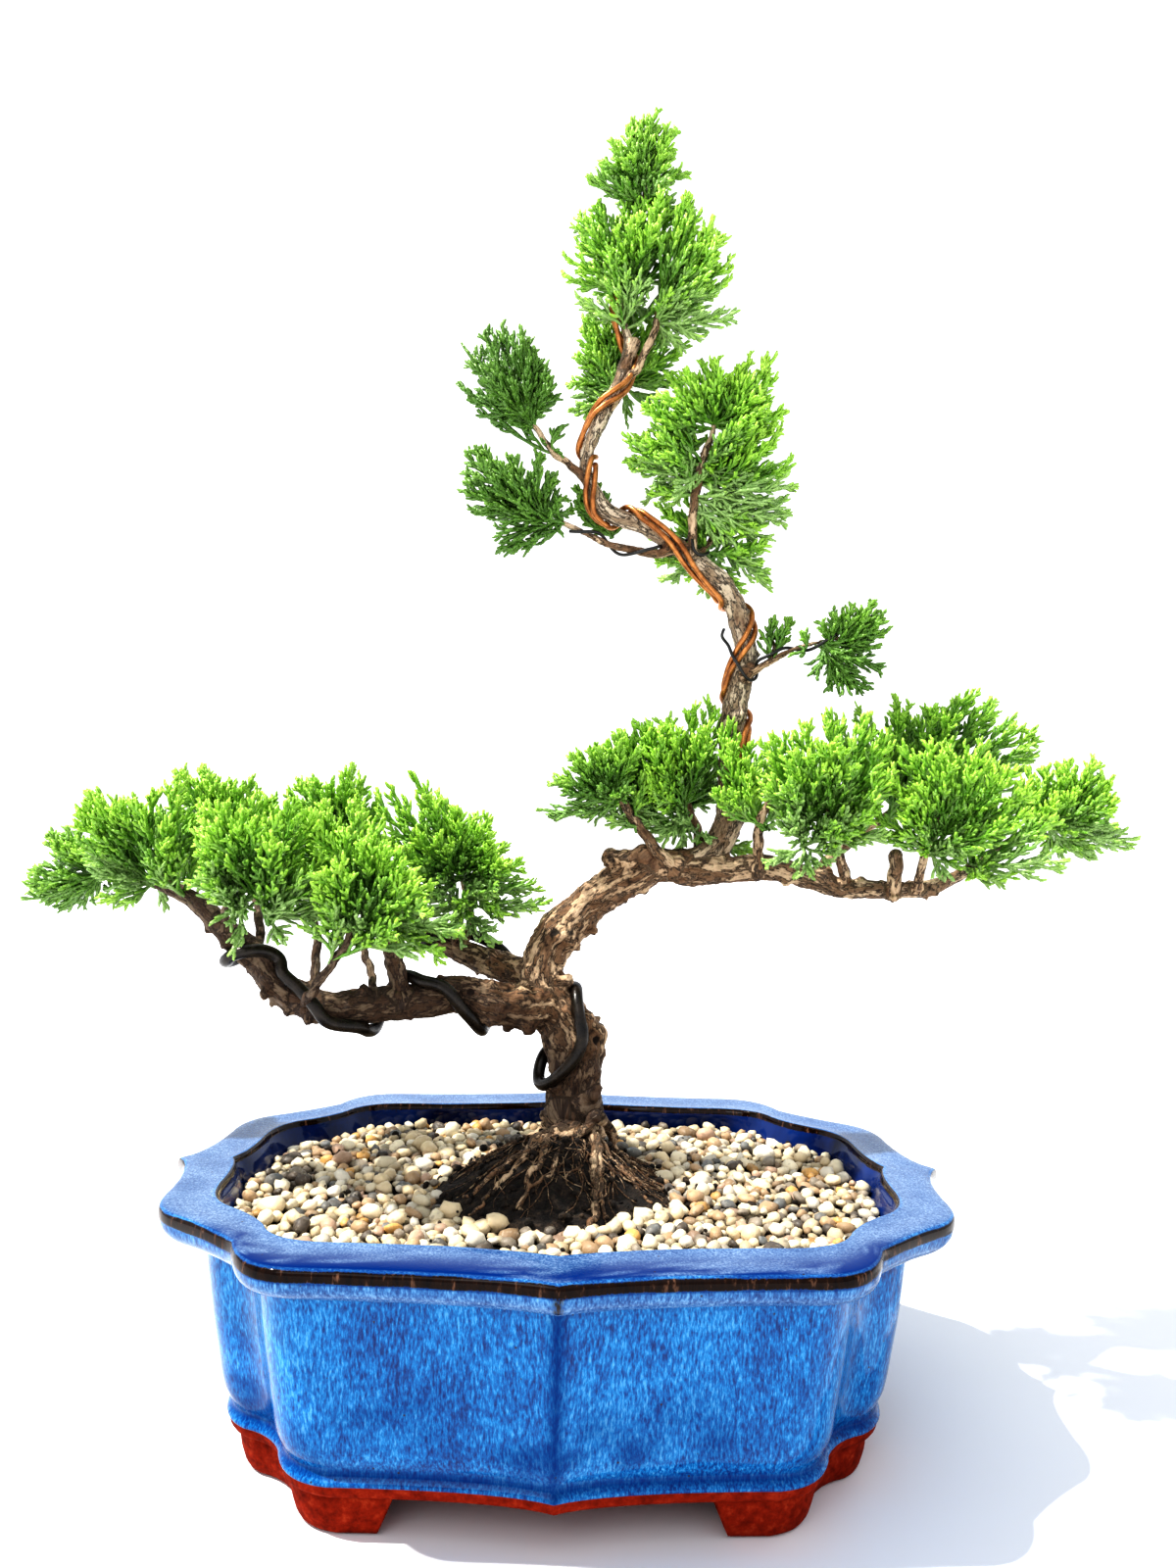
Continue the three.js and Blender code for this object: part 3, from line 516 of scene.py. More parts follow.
# Pot: the same lobed outlines as the frame's, drawn finer

LIP_BOTTOM = 53.7
UNDERSIDE = 9.3
FLOOR_TOP = 14.0
CLAY_TOP = 12
WALL_SHRINK = 0.925
BEND_HEIGHT = 50
MOUTH_ABOVE_BEND = 10.8
DRAIN_RADIUS = 8.0
DRAIN_SIDES = 48
DRAIN_OFFSET = 40.0
MASKS = ["clay", "edge", "painted_reflection", "pool_and_dark_reflection", "inner"]
EDGE, POOL_AND_REFLECTION, INNER = (MASKS.index(key) for key in ("edge", "pool_and_dark_reflection", "inner"))
ALL_CLAY = np.array([1.0, 0, 0, 0, 0])

# A quarter of each outline: points on the curve and, between them, the points it bends toward.
OUTLINES = {
    "rim": [
        (101, 0), (95.5, 6), (94.8, 26), (95.5, 40.5), (87, 46), (78, 52.5), (70, 61),
        (65.5, 76.5), (54, 76.6), (12, 78), (0, 83),
    ],
    "mouth": [
        (86, 0), (83, 6), (83, 22), (82.5, 34), (75.5, 39), (69, 44), (65.5, 50.5),
        (62, 60), (50, 60.5), (16, 61.5), (0, 67),
    ],
    "wall_top": [
        (89.5, 0), (85.5, 6), (85, 24), (85, 38), (77.5, 43.5), (70, 46.5), (66.5, 54),
        (62.5, 67.5), (51, 68), (12, 69.5), (0, 75),
    ],
    "wall_foot": [
        (82.5, 0), (79, 5), (78, 22), (78, 35.5), (70.5, 40.5), (63.5, 43), (60.5, 50),
        (58, 62), (47.5, 63.8), (11, 64.5), (0, 69.5),
    ],
}

# Into how many pieces each curve of a quarter is cut.
CURVE_STEPS = [5, 9, 6, 9, 9]


def quarter_points(outline):
    points = [np.array(outline[0], float)]
    for i, steps in enumerate(CURVE_STEPS):
        a, b, c = (np.array(p, float) for p in outline[2 * i : 2 * i + 3])
        t = np.arange(1, steps + 1)[:, None] / steps
        points.extend((1 - t) ** 2 * a + 2 * t * (1 - t) * b + t * t * c)
    return np.array(points)


def lobed_loop(outline):
    quarter = quarter_points(outline)
    half = np.concatenate([quarter, quarter[-2::-1] * [-1, 1]])
    return np.concatenate([half, half[-2:0:-1] * [1, -1]])


LOOPS = {name: lobed_loop(outline) for name, outline in OUTLINES.items()}
RING_SIZE = len(LOOPS["rim"])


def ring(z, start, end, blend, scale=1.0):
    flat = (LOOPS[start] * (1 - blend) + LOOPS[end] * blend) * scale
    return np.column_stack([flat, np.full(RING_SIZE, z)])


def wall_ring(z, scale=1.0):
    rise = np.clip((z - UNDERSIDE) / (LIP_BOTTOM - UNDERSIDE), 0, 1)
    return ring(z, "wall_foot", "wall_top", rise, scale)


def inner_ring(z):
    """The inside of the bowl at a height: straight up to the bend, then leaning in to the mouth."""
    low = wall_ring(min(z, BEND_HEIGHT), WALL_SHRINK)
    share = max(z - BEND_HEIGHT, 0) / MOUTH_ABOVE_BEND
    mixed = low * (1 - share) + ring(z, "rim", "mouth", 1.02) * share
    mixed[:, 2] = z
    return mixed


def glazed(points, clay=0.0, edge=0.0, painted_reflection=0.0, pool_and_dark_reflection=0.0, inner=0.0):
    """A ring with its masks."""
    return points, (clay, edge, painted_reflection, pool_and_dark_reflection, inner)


def wall_rings():
    """From the middle of the underside outward, up the clay band, over the cove and up the wall."""
    for scale in (0.3, 0.6, 0.85, 0.95, 0.98):
        yield glazed(wall_ring(UNDERSIDE, scale), clay=1)
    for z, scale in ((9.45, 0.990), (9.8, 0.996), (10.4, 1.0), (11.2, 1.001), (12.0, 1.002)):
        yield glazed(wall_ring(z, scale), clay=1)
    for z, scale, pool_and_dark_reflection in (
        (12.2, 1.004, 0.4), (12.6, 1.0045, 0.3), (13.1, 1.000, 0.35), (13.6, 0.994, 0.6), (14.1, 0.988, 0.8),
        (14.7, 0.985, 0.8), (15.4, 0.986, 0.6), (16.2, 0.990, 0.3), (17.1, 0.995, 0.1), (18.2, 0.999, 0.0),
        (19.6, 1.003, 0.0),
    ):
        yield glazed(wall_ring(z, scale), pool_and_dark_reflection=pool_and_dark_reflection)
    for z in np.linspace(22, 51, 15):
        yield glazed(wall_ring(z, 1.005 - 0.005 * smoothstep(34, 53, z)))


def lip_rings():
    """Out under the rim, up its edge, across its top and over the edge of the mouth, with a painted pale
    reflection on the rim's outer face and top and a painted dark reflection across the top.
    """
    # Under the rim: pooled glaze in the corner, and a painted pale reflection rising up the lip's outer face.
    for z, blend, pool_and_dark_reflection, painted_reflection in (
        (52.2, 0.0, 0.0, 0.0), (53.0, 0.0, 0.15, 0.0), (53.5, 0.015, 0.45, 0.1), (53.7, 0.06, 0.5, 0.3),
        (53.8, 0.18, 0.3, 0.5), (53.95, 0.34, 0.1, 0.7), (54.25, 0.50, 0.0, 0.85), (54.75, 0.66, 0.0, 0.9),
        (55.4, 0.79, 0.0, 0.9), (56.2, 0.88, 0.0, 0.8), (57.1, 0.94, 0.0, 0.6), (57.9, 0.97, 0.0, 0.5),
        (58.5, 0.98, 0.0, 0.4),
    ):
        yield glazed(ring(z, "wall_top", "rim", blend), pool_and_dark_reflection=pool_and_dark_reflection, painted_reflection=painted_reflection)
    for z, blend, edge in (
        (58.8, 0.010, 0.38), (59.1, 0.003, 0.62), (59.6, 0.0, 0.85), (60.2, 0.0, 1.0), (60.8, 0.006, 0.95),
        (61.2, 0.018, 0.75), (61.5, 0.036, 0.52), (61.7, 0.060, 0.25),
    ):
        yield glazed(ring(z, "rim", "mouth", blend), edge=edge, painted_reflection=0.3, pool_and_dark_reflection=0.6)
    # The rim's top: painted pale reflection all over it, with a dark painted reflection over its outer part.
    for z, blend, pool_and_dark_reflection in (
        (61.84, 0.085, 1.0), (61.93, 0.13, 1.0), (61.98, 0.20, 1.0), (61.98, 0.3, 0.95), (61.9, 0.42, 0.8),
        (61.82, 0.55, 0.55), (61.8, 0.68, 0.2), (61.84, 0.8, 0.0), (61.92, 0.88, 0.0),
    ):
        yield glazed(ring(z, "rim", "mouth", blend), painted_reflection=1, pool_and_dark_reflection=pool_and_dark_reflection)
    for z, blend, edge in (
        (62.0, 0.93, 0.15), (61.95, 0.955, 0.6), (61.75, 0.975, 0.9), (61.4, 0.99, 1.0), (60.9, 1.0, 1.0),
        (60.3, 1.005, 0.6),
    ):
        yield glazed(ring(z, "rim", "mouth", blend), edge=edge, painted_reflection=0.6, inner=float(blend > 0.98))


def inside_rings():
    for z in (59.6, 58.5, 57, 55, 52.5, 50, 45, 38, 30, 22, 17):
        yield glazed(inner_ring(z), inner=1)
    for scale in (0.99, 0.95, 0.85, 0.6, 0.3):
        yield glazed(wall_ring(FLOOR_TOP, WALL_SHRINK * scale), inner=1)


def cut_drain(pot, x):
    """Cuts an upright round hole through the pot's floor."""
    turn = turns_round(DRAIN_SIDES)
    low = np.column_stack([x + DRAIN_RADIUS * np.cos(turn), DRAIN_RADIUS * np.sin(turn), 0 * turn])
    up = [0, 0, 2 * FLOOR_TOP]
    tool = build_mesh("drain_tool", [*low, *(low + up), [x, 0, 0], [x, 0, up[2]]], *capped(2, DRAIN_SIDES))
    cut = pot.modifiers.new("drain", "BOOLEAN")
    cut.object = tool
    cut.operation = "DIFFERENCE"
    cut.solver = "EXACT"
    apply_modifiers(pot)
    bpy.data.objects.remove(tool)


def pot_body():
    """Points, quads and triangles of the pot without its feet, and the masks of each point."""
    rings, masks = (np.array(part) for part in zip(*wall_rings(), *lip_rings(), *inside_rings()))
    wobble = 0.18 * (fractal(rings.reshape(-1, 3) / 26.0, 2, 5) - 0.5).reshape(rings.shape[:2])
    rings[..., :2] += unit(rings[..., :2]) * (wobble * (rings[..., 2] > CLAY_TOP))[..., None]
    flat = rings.reshape(-1, 3)
    middles = [[0, 0, UNDERSIDE], [0, 0, FLOOR_TOP]]
    pot = build_mesh("pot_body", [*flat, *middles], *capped(len(rings), RING_SIZE))
    for x in (-DRAIN_OFFSET, DRAIN_OFFSET):
        cut_drain(pot, x)
    verts = points_of(pot)
    lookup = point_tree(flat)
    values = masks[np.array([lookup.find(p)[1] for p in verts]) // RING_SIZE]
    from_drain = np.hypot(np.abs(verts[:, 0]) - DRAIN_OFFSET, verts[:, 1])
    values[(from_drain < DRAIN_RADIUS + 0.01) & (verts[:, 2] < FLOOR_TOP + 1)] = ALL_CLAY
    quads, tris = faces_of(pot)
    bpy.data.objects.remove(pot)
    return verts, quads, tris, values


FOOT_WIDTH = 11.0
FOOT_TOP = 10.6
FOOT_END_X = 34.0
FOOT_END_Y = 13.5
FOOT_SLANT = 4.5

# Across a foot, from its outer face to its inner one: (depth, z).
FOOT_SECTION = [
    (0.0, FOOT_TOP), (0.0, 8.0), (0.6, 4.0), (1.4, 1.4), (1.9, 0.6), (2.6, 0.12), (3.4, 0.0), (8.2, 0.0),
    (9.2, 0.15), (9.9, 0.7), (10.3, 1.6), (FOOT_WIDTH, 6.0), (FOOT_WIDTH, FOOT_TOP),
]

# How a foot's end is rounded, row by row outward: squeezed from both faces, pushed out and raised.
FOOT_ENDS = [(0.0, 0.0, 0.0), (0.35, 0.35, 0.12), (1.2, 0.75, 0.5), (3.4, 0.9, 1.4)]


def foot_rows():
    """One foot as rows of section points along the corner, in the quarter x > 0, y > 0."""
    path = quarter_points(OUTLINES["wall_foot"]) * 0.975
    keep = path[(path[:, 1] > FOOT_END_Y) & (path[:, 0] > FOOT_END_X + 1)]
    ahead = path[path[:, 0] < FOOT_END_X + 1][0]
    line = np.array([[keep[0, 0], FOOT_END_Y], *keep, [FOOT_END_X, ahead[1]]])
    along_foot = unit(np.gradient(line, axis=0))
    inward = np.column_stack([-along_foot[:, 1], along_foot[:, 0]])
    length = lengths_along(line)
    depth, z = np.array(FOOT_SECTION).T
    rows = []
    for k in range(-3, len(line) + 3):
        at = min(max(k, 0), len(line) - 1)
        squeeze, push, lift = FOOT_ENDS[max(-k, k - at)]
        slant = FOOT_SLANT * (math.exp(-length[at] / 5) - math.exp(-(length[-1] - length[at]) / 5))
        slide = np.clip(depth, squeeze, FOOT_WIDTH - squeeze)[:, None]
        onward = (slant * (1 - z / FOOT_TOP) + math.copysign(push, k))[:, None]
        flat = line[at] + inward[at] * slide + along_foot[at] * onward
        rows.append(np.column_stack([flat, np.where(z < FOOT_WIDTH / 2, np.maximum(z, lift), z)]))
    return np.array(rows)


def foot_faces(count, size):
    """Faces of a foot: its sides, its top strip and its two ends."""
    k = np.arange(count - 1)[:, None] * size
    top = k + [0, size, 2 * size - 1, size - 1]
    m = np.arange(1, size - 1)[:, None]
    first = np.hstack([m * 0, m, m + 1])
    quads = np.concatenate([grid_faces(count, size, wrap=False), top])
    return quads, np.concatenate([first[:, ::-1], first + (count - 1) * size])


def pot_feet():
    rows = foot_rows()
    quads, tris = foot_faces(*rows.shape[:2])
    for sx in (1, -1):
        for sy in (1, -1):
            way = -sx * sy
            yield rows.reshape(-1, 3) * [sx, sy, 1], quads[:, ::way], tris[:, ::way]


def weathered(verts, masks):
    """The masks with ridges, pools and smudges of the glaze laid over them, and a painted reflection on the
    rim's front top: dark, broken by pale painted glint streaks.
    """
    x, y, z = verts.T
    far = np.abs(y)
    ridge = np.exp(-((x / 1.5) ** 2)) * (z < 53) * (far > 60) * (z > CLAY_TOP)
    masks[:, POOL_AND_REFLECTION] = np.maximum(masks[:, POOL_AND_REFLECTION], 0.85 * ridge)
    lip = np.exp(-((x / 3.0) ** 2)) * (z > 55) * (z < 59.5) * (far > 70)
    masks[:, EDGE] = np.maximum(masks[:, EDGE], 0.62 * lip)
    # On the rim the dark cobalt is a painted reflection, kept only at the front.
    front = smoothstep(-50, -60, y + 16 * (fractal(verts / 14.0, 3, 13) - 0.5))
    masks[:, POOL_AND_REFLECTION] *= np.where(z > 58, front, 1.0)
    # Painted glints: pale streaks that break the dark painted reflection on the rim's front top.
    painted_glint_streaks = smoothstep(0.52, 0.60, fractal(verts / [13.0, 2.4, 4.0], 2, 29)) * (z > 61) * (y < 0)
    masks[:, POOL_AND_REFLECTION] *= 1 - 0.75 * painted_glint_streaks
    smudge = smoothstep(0.40, 0.66, fractal(verts / [9.0, 9.0, 7.0], 3, 17)) * smoothstep(46, 18, z)
    smudge = (0.10 + 0.60 * smudge) * smoothstep(46, 22, z) * (z > 16) * (z < 52) * (masks[:, INNER] < 0.5)
    masks[:, POOL_AND_REFLECTION] = np.maximum(masks[:, POOL_AND_REFLECTION], smudge)
    return masks


def make_pot():
    body_verts, body_quads, body_tris, body_masks = pot_body()
    verts, quads, tris = merged([(body_verts, body_quads, body_tris), *pot_feet()])
    feet_masks = np.tile(ALL_CLAY, (len(verts) - len(body_verts), 1))
    masks = weathered(verts, np.concatenate([body_masks, feet_masks]))
    chips = 0.32 * (fractal(verts / [7.0, 7.0, 20.0], 2, 19) - 0.5)
    verts[:, 2] += chips * masks[:, EDGE] * (verts[:, 2] > 58)
    return build_mesh("pot", verts, quads, tris, dict(zip(MASKS, masks.T)))


# Camera, floor and light

CAMERA_RIGHT = (0.99957, -0.02071, 0.02058)
CAMERA_UP = (-0.02121, -0.03064, 0.99931)
CAMERA_FORWARD = (0.02006, 0.99932, 0.03106)
CAMERA_PLACE = (-0.000971, -0.316161, 0.152918)
FLOOR_REACH = 3000


def make_camera():
    """The photo's camera, from a perspective fit of the pot's rim."""
    lens = bpy.data.cameras.new("camera")
    lens.sensor_fit = "AUTO"
    lens.sensor_width = 36
    lens.lens = 27
    lens.clip_start = 0.01
    lens.clip_end = 20
    camera = bpy.data.objects.new("camera", lens)
    back = -np.array(CAMERA_FORWARD)
    camera.matrix_world = Matrix([*zip(CAMERA_RIGHT, CAMERA_UP, back, CAMERA_PLACE), (0, 0, 0, 1)])
    bpy.context.scene.collection.objects.link(camera)
    bpy.context.scene.camera = camera


def make_lamp(name, kind, energy, place, target, **settings):
    data = bpy.data.lights.new(name, kind)
    data.energy = energy
    for key, value in settings.items():
        setattr(data, key, value)
    lamp = bpy.data.objects.new(name, data)
    lamp.location = place
    lamp.rotation_euler = (Vector(target) - Vector(place)).to_track_quat("-Z", "Y").to_matrix().to_euler()
    bpy.context.scene.collection.objects.link(lamp)


def floor_material():
    n = Nodes("floor")
    cloth = n.noise(6, 3, 0.5)
    return n.done(n.ramp(cloth, (0.3, (0.78, 0.785, 0.80)), (0.7, (0.80, 0.805, 0.82))), 0.9)


def make_floor():
    corners = np.array([[-1, -1, 0], [1, -1, 0], [1, 1, 0], [-1, 1, 0]]) * FLOOR_REACH
    floor = build_mesh("floor", corners, [[0, 1, 2, 3]])
    floor.data.materials.append(floor_material())
    floor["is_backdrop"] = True


def make_world():
    """Even light from all round, seen as plain white behind the tree."""
    world = bpy.data.worlds.new("studio")
    bpy.context.scene.world = world
    world.use_nodes = True
    tree = world.node_tree
    seen = tree.nodes.new("ShaderNodeLightPath").outputs["Is Camera Ray"]
    glow = tree.nodes.new("ShaderNodeMix")
    glow.data_type = "RGBA"
    glow.inputs[MIX_FIRST].default_value = (0.80, 0.83, 0.88, 1)
    glow.inputs[MIX_SECOND].default_value = (1, 1, 1, 1)
    tree.links.new(seen, glow.inputs[0])
    tree.links.new(glow.outputs[MIX_RESULT], tree.nodes["Background"].inputs["Color"])


def make_lamps():
    make_lamp("sun", "SUN", 4.6, (-1.2, -0.24, 2.1), (0, 0, 0.1), angle=0.02, color=(1.0, 0.97, 0.92))
    make_lamp("front", "AREA", 3.0, (-0.5, -1.2, 0.9), (0, 0, 0.15), shape="RECTANGLE", size=0.8, size_y=0.6)
    view = bpy.context.scene.view_settings
    view.view_transform = "Standard"
    view.look = "High Contrast"


# Wood: the frame's limbs, twigs and roots, here and there slimmer, as [x, y, z, radius]

LIMBS = {
    "trunk": [
        [4, 9, 60, 8.6], [3.8, 9, 70, 8], [3.4, 9, 77, 7.4], [4, 9, 85, 7.3], [4.6, 9, 93, 6.9],
        [-0.6, 9, 100.5, 6.3], [-6, 10, 106.5, 5.9], [-5.4, 11, 115, 6], [0, 12, 123, 6.2],
        [7, 12, 130, 5.7], [17, 12, 137, 5.2], [27, 12, 141, 4.7], [37, 12, 141, 4.4],
    ],
    "leader": [
        [33, 12, 140, 4.4], [42, 13, 146, 4.1], [46, 14, 157, 4], [46, 14, 179, 3.7], [48, 14, 192, 3.3],
        [49.5, 14, 202, 3], [48, 14, 207.5, 3], [46, 13, 214.5, 3], [43, 12, 219, 3], [38, 11, 223.5, 2.9],
        [32, 10, 228, 2.8], [20, 9, 235, 2.5], [9, 8, 239, 2.5], [5, 8, 245, 2], [3, 8, 252, 1.9],
        [5, 9, 260, 2], [8.5, 10, 268, 2.3], [13, 11, 279, 2.1], [14.5, 12, 288, 1.5], [12, 12, 297, 1.1],
        [13, 12, 308, 1], [17, 12, 322, 0.9], [19, 12, 340, 0.8],
    ],
    "right": [
        [31, 12, 140, 4.6], [44, 10, 140, 3.9], [55, 8, 141, 3.6], [65, 5, 139, 3.3], [75, 2, 136, 2.9],
        [82, -1, 136, 2.6], [90, -3, 136, 2.3], [97, -4, 137, 2.1], [104, -4, 140, 1.7], [112, -3, 145, 1.4],
        [122, -1, 151, 1.1], [134, 0, 155, 0.8],
    ],
    "left": [
        [-1.8, 9, 100.5, 5.8], [-6, 8, 102.5, 6.6], [-13, 5, 102, 6.4], [-21, 2, 104, 5.6],
        [-29, 0, 106, 4.8], [-35, -2, 105, 4.6], [-45, -4, 104, 4.6], [-62, -8, 103, 4.4],
        [-70, -9, 106, 4.2], [-75, -10, 110, 4.1], [-79, -10, 116, 3.8], [-85, -11, 121, 3.4],
        [-92, -12, 128, 2.8], [-98, -8, 131, 2.3], [-108, -2, 134, 1.7], [-119, 6, 136, 1.2],
        [-130, 14, 136, 0.8],
    ],
    "left_back": [
        [-4, 11, 108, 5], [-15, 16, 111, 4.2], [-25, 23, 113, 3.7], [-36, 28, 117, 3.2], [-43, 31, 121, 2.6],
        [-53, 34, 127, 2], [-63, 36, 134, 1.5], [-72, 37, 142, 1],
    ],
    "sprig": [
        [48.5, 14, 194, 1.5], [53.5, 9.5, 197, 1.2], [58, 8, 199.5, 1], [63, 7, 202, 0.8], [76, 4, 205, 0.6],
    ],
    "crown_twig": [
        [29, 9, 229.5, 1.6], [23, 7, 227, 1.4], [17, 7, 228, 1.3], [9.5, 7, 229.5, 1.1], [4, 7, 232, 1],
        [-5, 7, 236, 0.8],
    ],
}

TWIGS = [
    [[-67, -9, 104, 1.5], [-63, -20, 109, 1.2], [-54, -26, 121, 1.1], [-51, -28, 130, 0.8]],
    [[-43, -4, 105, 2.6], [-44, -6, 113, 2.6], [-46, -11, 121, 2], [-50, -16, 134, 1]],
    [[-66, -8, 104, 1.4], [-67, 4, 112, 1.3], [-68, 8, 120, 1.2], [-73, 14, 132, 0.9]],
    [[-50, -5, 104, 1.1], [-53, 6, 112, 1.1], [-60, 18, 126, 0.8]],
    [[-80, -8, 116, 1.5], [-82, 2, 124, 1.2], [-92, 18, 143, 0.8]],
    [[-88, -11, 124, 1.1], [-83, -24, 131, 1], [-77, -30, 140, 0.8]],
    [[-30, 26, 115, 1.7], [-27, 24, 123, 1.3], [-30, 17, 141, 0.8]],
    [[28, 8, 142, 2.2], [23, 6, 147, 1.7], [15, 4, 158, 1.1], [9, 4, 163, 0.8]],
    [[38, 14, 142, 1.7], [37, 17, 150, 1.4], [33, 17, 160, 1]],
    [[53, 8, 141, 1.6], [52, 0, 151, 1.4], [54, -10, 164, 0.8]],
    [[76, 2, 138, 1.9], [73, -4, 143, 1.4], [67, -14, 160, 0.8]],
    [[68, 6, 139, 1.6], [79, 18, 147, 1.4], [92, 26, 155, 1.1], [104, 29, 165, 0.8]],
    [[87, -4, 136, 2.1], [87, -7, 146, 1.7]],
    [[93, -6, 137, 1.3], [93, -12, 146, 1], [95, -16, 156, 0.8]],
    [[56, 8.5, 198.5, 0.8], [57, 11, 202, 0.6], [56, 14, 207, 0.5]],
    [[33, 10, 227.5, 1.6], [33, 8, 233, 1.4], [33.5, 8, 244, 1.25], [35.5, 8, 252, 1.1], [39, 8, 264, 0.7]],
    [[34, 11, 227, 1.1], [42, 18, 236, 0.7]],
    [[4.5, 8, 246, 1.2], [-2, 7, 251.5, 1], [-7.5, 7, 256.5, 0.9], [-14, 6, 265, 0.7]],
    [[15, 9, 237, 0.9], [9, 15, 240, 0.6]],
    [[9, 11, 270, 1.1], [14, 22, 281, 0.7]],
    [[9.5, 10, 269, 1.3], [17, 9, 280.5, 1.25], [21, 9, 289, 1.1], [23, 9, 300, 0.7]],
    [[13, 11, 279, 2], [16, 10.5, 288, 1.9]],
]

ROOTS = [
    [[4, 14, 75, 3.6], [-5, 16, 71, 1.9], [-14, 14, 69, 1.5], [-31, 8, 65, 0.6]],
    [[1, 2, 71, 2.7], [-10, -8, 67, 1.5], [-16, -13, 64, 1.3], [-24, -20, 62, 0.7]],
    [[-3, -4, 69, 1.8], [-10, -12, 66, 1.3], [-22, -27, 61, 0.6]],
    [[4, 2, 71, 2.4], [-4, -9, 66, 1.7], [-7, -18, 63, 1.1], [-9, -29, 59, 0.7]],
    [[7, -4, 67, 1], [-4, -18, 63, 0.8], [-11, -28, 60, 0.6]],
    [[9, 1, 74, 1.9], [3, -3, 71, 1.7], [-6, -7, 67, 0.7]],
    [[9, 2, 70, 2.2], [9, -8, 66, 1.8], [8, -24, 61.5, 1.6], [8, -34, 58, 1.2]],
    [[10, -4, 67, 1.3], [11, -18, 63, 1.1], [11, -28, 60, 0.8]],
    [[9, 4, 70, 1.9], [13, -4, 66, 1], [23, -18, 61, 0.7]],
    [[9, 9, 70, 2.4], [15, 7, 67, 1.3], [24, 3, 62.5, 0.7]],
    [[5, 14, 70, 2.4], [10, 21, 66, 1.4], [16, 30, 61, 0.7]],
    [[2, 14, 70, 2.2], [-3, 22, 66, 1.3], [-9, 31, 61, 0.7]],
]

ROOT_SLIMMING = 0.62
SKIN_STEP = 0.80
THICK_SIDES = 20
THIN_SIDES = 10

# Swellings left by pruned twigs: [x, y, z, radius].
KNOBS = [
    [0.5, 8, 93, 6.2], [2.5, 8, 87, 6.6], [-1, 9, 98, 6.6],
    [8.5, 7, 94.5, 3.7], [6.5, 4, 99.5, 2.2], [8.6, 5, 85, 2.4], [-2.5, 3.5, 81, 2.2], [8.8, 3, 79, 2.0],
    [12, 8, 143, 2.8], [16, 7.5, 143, 2.6], [21, 8, 144, 3.0], [24, 8.5, 141, 2.4], [27, 7, 143, 2.2],
    [31, 8, 142, 2.0], [19, 7, 138, 2.0], [-11, 0, 106, 2.6], [-17, -1, 101, 2.4], [-23, -1, 109, 1.8],
    [-9, 2, 97, 2.4], [-31, -4, 109, 1.7], [-52, -8, 108, 1.6], [-58, -10, 100.5, 1.5], [-40, -7, 101, 1.6],
    [-76, -14, 107, 1.6], [-86, -14, 119, 1.4], [-20, 15, 115, 1.8], [-31, 22, 118, 1.7], [1, 6, 109, 2.2],
    [-6, 6, 112, 2.2], [2, 6, 119, 1.8], [49, 9, 142.5, 1.5], [60, 4, 137, 1.4], [71, 1, 140.5, 1.4],
    [87, -6, 134, 1.3], [98, -6, 135.5, 1.1], [47.5, 10.5, 183, 1.9], [45, 11, 172, 1.5],
    [49.5, 12, 196, 1.5],
]

# Ringed scars where branches were cut: [x, y, z, radius].
SCARS = [
    [-3, 5.5, 122, 2.3], [-11.5, 0.5, 105, 2.4], [9.5, 3, 93.5, 1.8], [2.5, 2.5, 107, 1.8],
    [47.5, 10.2, 183, 1.5], [-24.5, -3.6, 107, 1.5],
]


class Route:
    """The frame's centripetal curve through stations, with a radius at each place."""

    def __init__(self, stations):
        stations = np.asarray(stations, float)
        self.points = stations[:, :3]
        self.radii = stations[:, 3] if stations.shape[1] > 3 else np.zeros(len(stations))
        self.last = len(stations) - 1

    def at(self, places):
        places = np.clip(np.asarray(places, float), 0, self.last)
        p = self.points
        p = np.concatenate([[2 * p[0] - p[1]], p, [2 * p[-1] - p[-2]]])
        i = np.minimum(places.astype(int), self.last - 1)
        w = (places - i)[:, None]
        x0, x1, x2, x3 = (p[i + k] for k in range(4))
        gaps = (np.linalg.norm(b - a, axis=1)[:, None] for a, b in ((x0, x1), (x1, x2), (x2, x3)))
        d0, d1, d2 = (np.maximum(gap, 1e-8) ** 0.5 for gap in gaps)
        t1 = ((x1 - x0) / d0 - (x2 - x0) / (d0 + d1) + (x2 - x1) / d1) * d1
        t2 = ((x2 - x1) / d1 - (x3 - x1) / (d1 + d2) + (x3 - x2) / d2) * d1
        return x1 + t1 * w + (-3 * x1 + 3 * x2 - 2 * t1 - t2) * w**2 + (2 * x1 - 2 * x2 + t1 + t2) * w**3

    def tangent(self, places):
        places = np.asarray(places, float)
        return unit(self.at(places + 0.001) - self.at(places - 0.001))

    def radius(self, places):
        return np.interp(places, np.arange(self.last + 1), self.radii)

    def spaced(self, step):
        """Places a fixed distance apart along the curve."""
        fine = np.linspace(0, self.last, self.last * 40 + 1)
        length = lengths_along(self.at(fine))
        count = max(3, int(length[-1] / step) + 1)
        return np.interp(np.linspace(0, length[-1], count), length, fine)


def frames(points):
    """Directions along a line of points and two across it, carried along without twisting."""
    forward = unit(np.gradient(points, axis=0))
    side = unit(np.cross(forward[0], [0.3, 0.9, 0.2]))
    sides = []
    for way in forward:
        side = unit(side - way * (side @ way))
        sides.append(side)
    sides = np.array(sides)
    return forward, sides, np.cross(forward, sides)


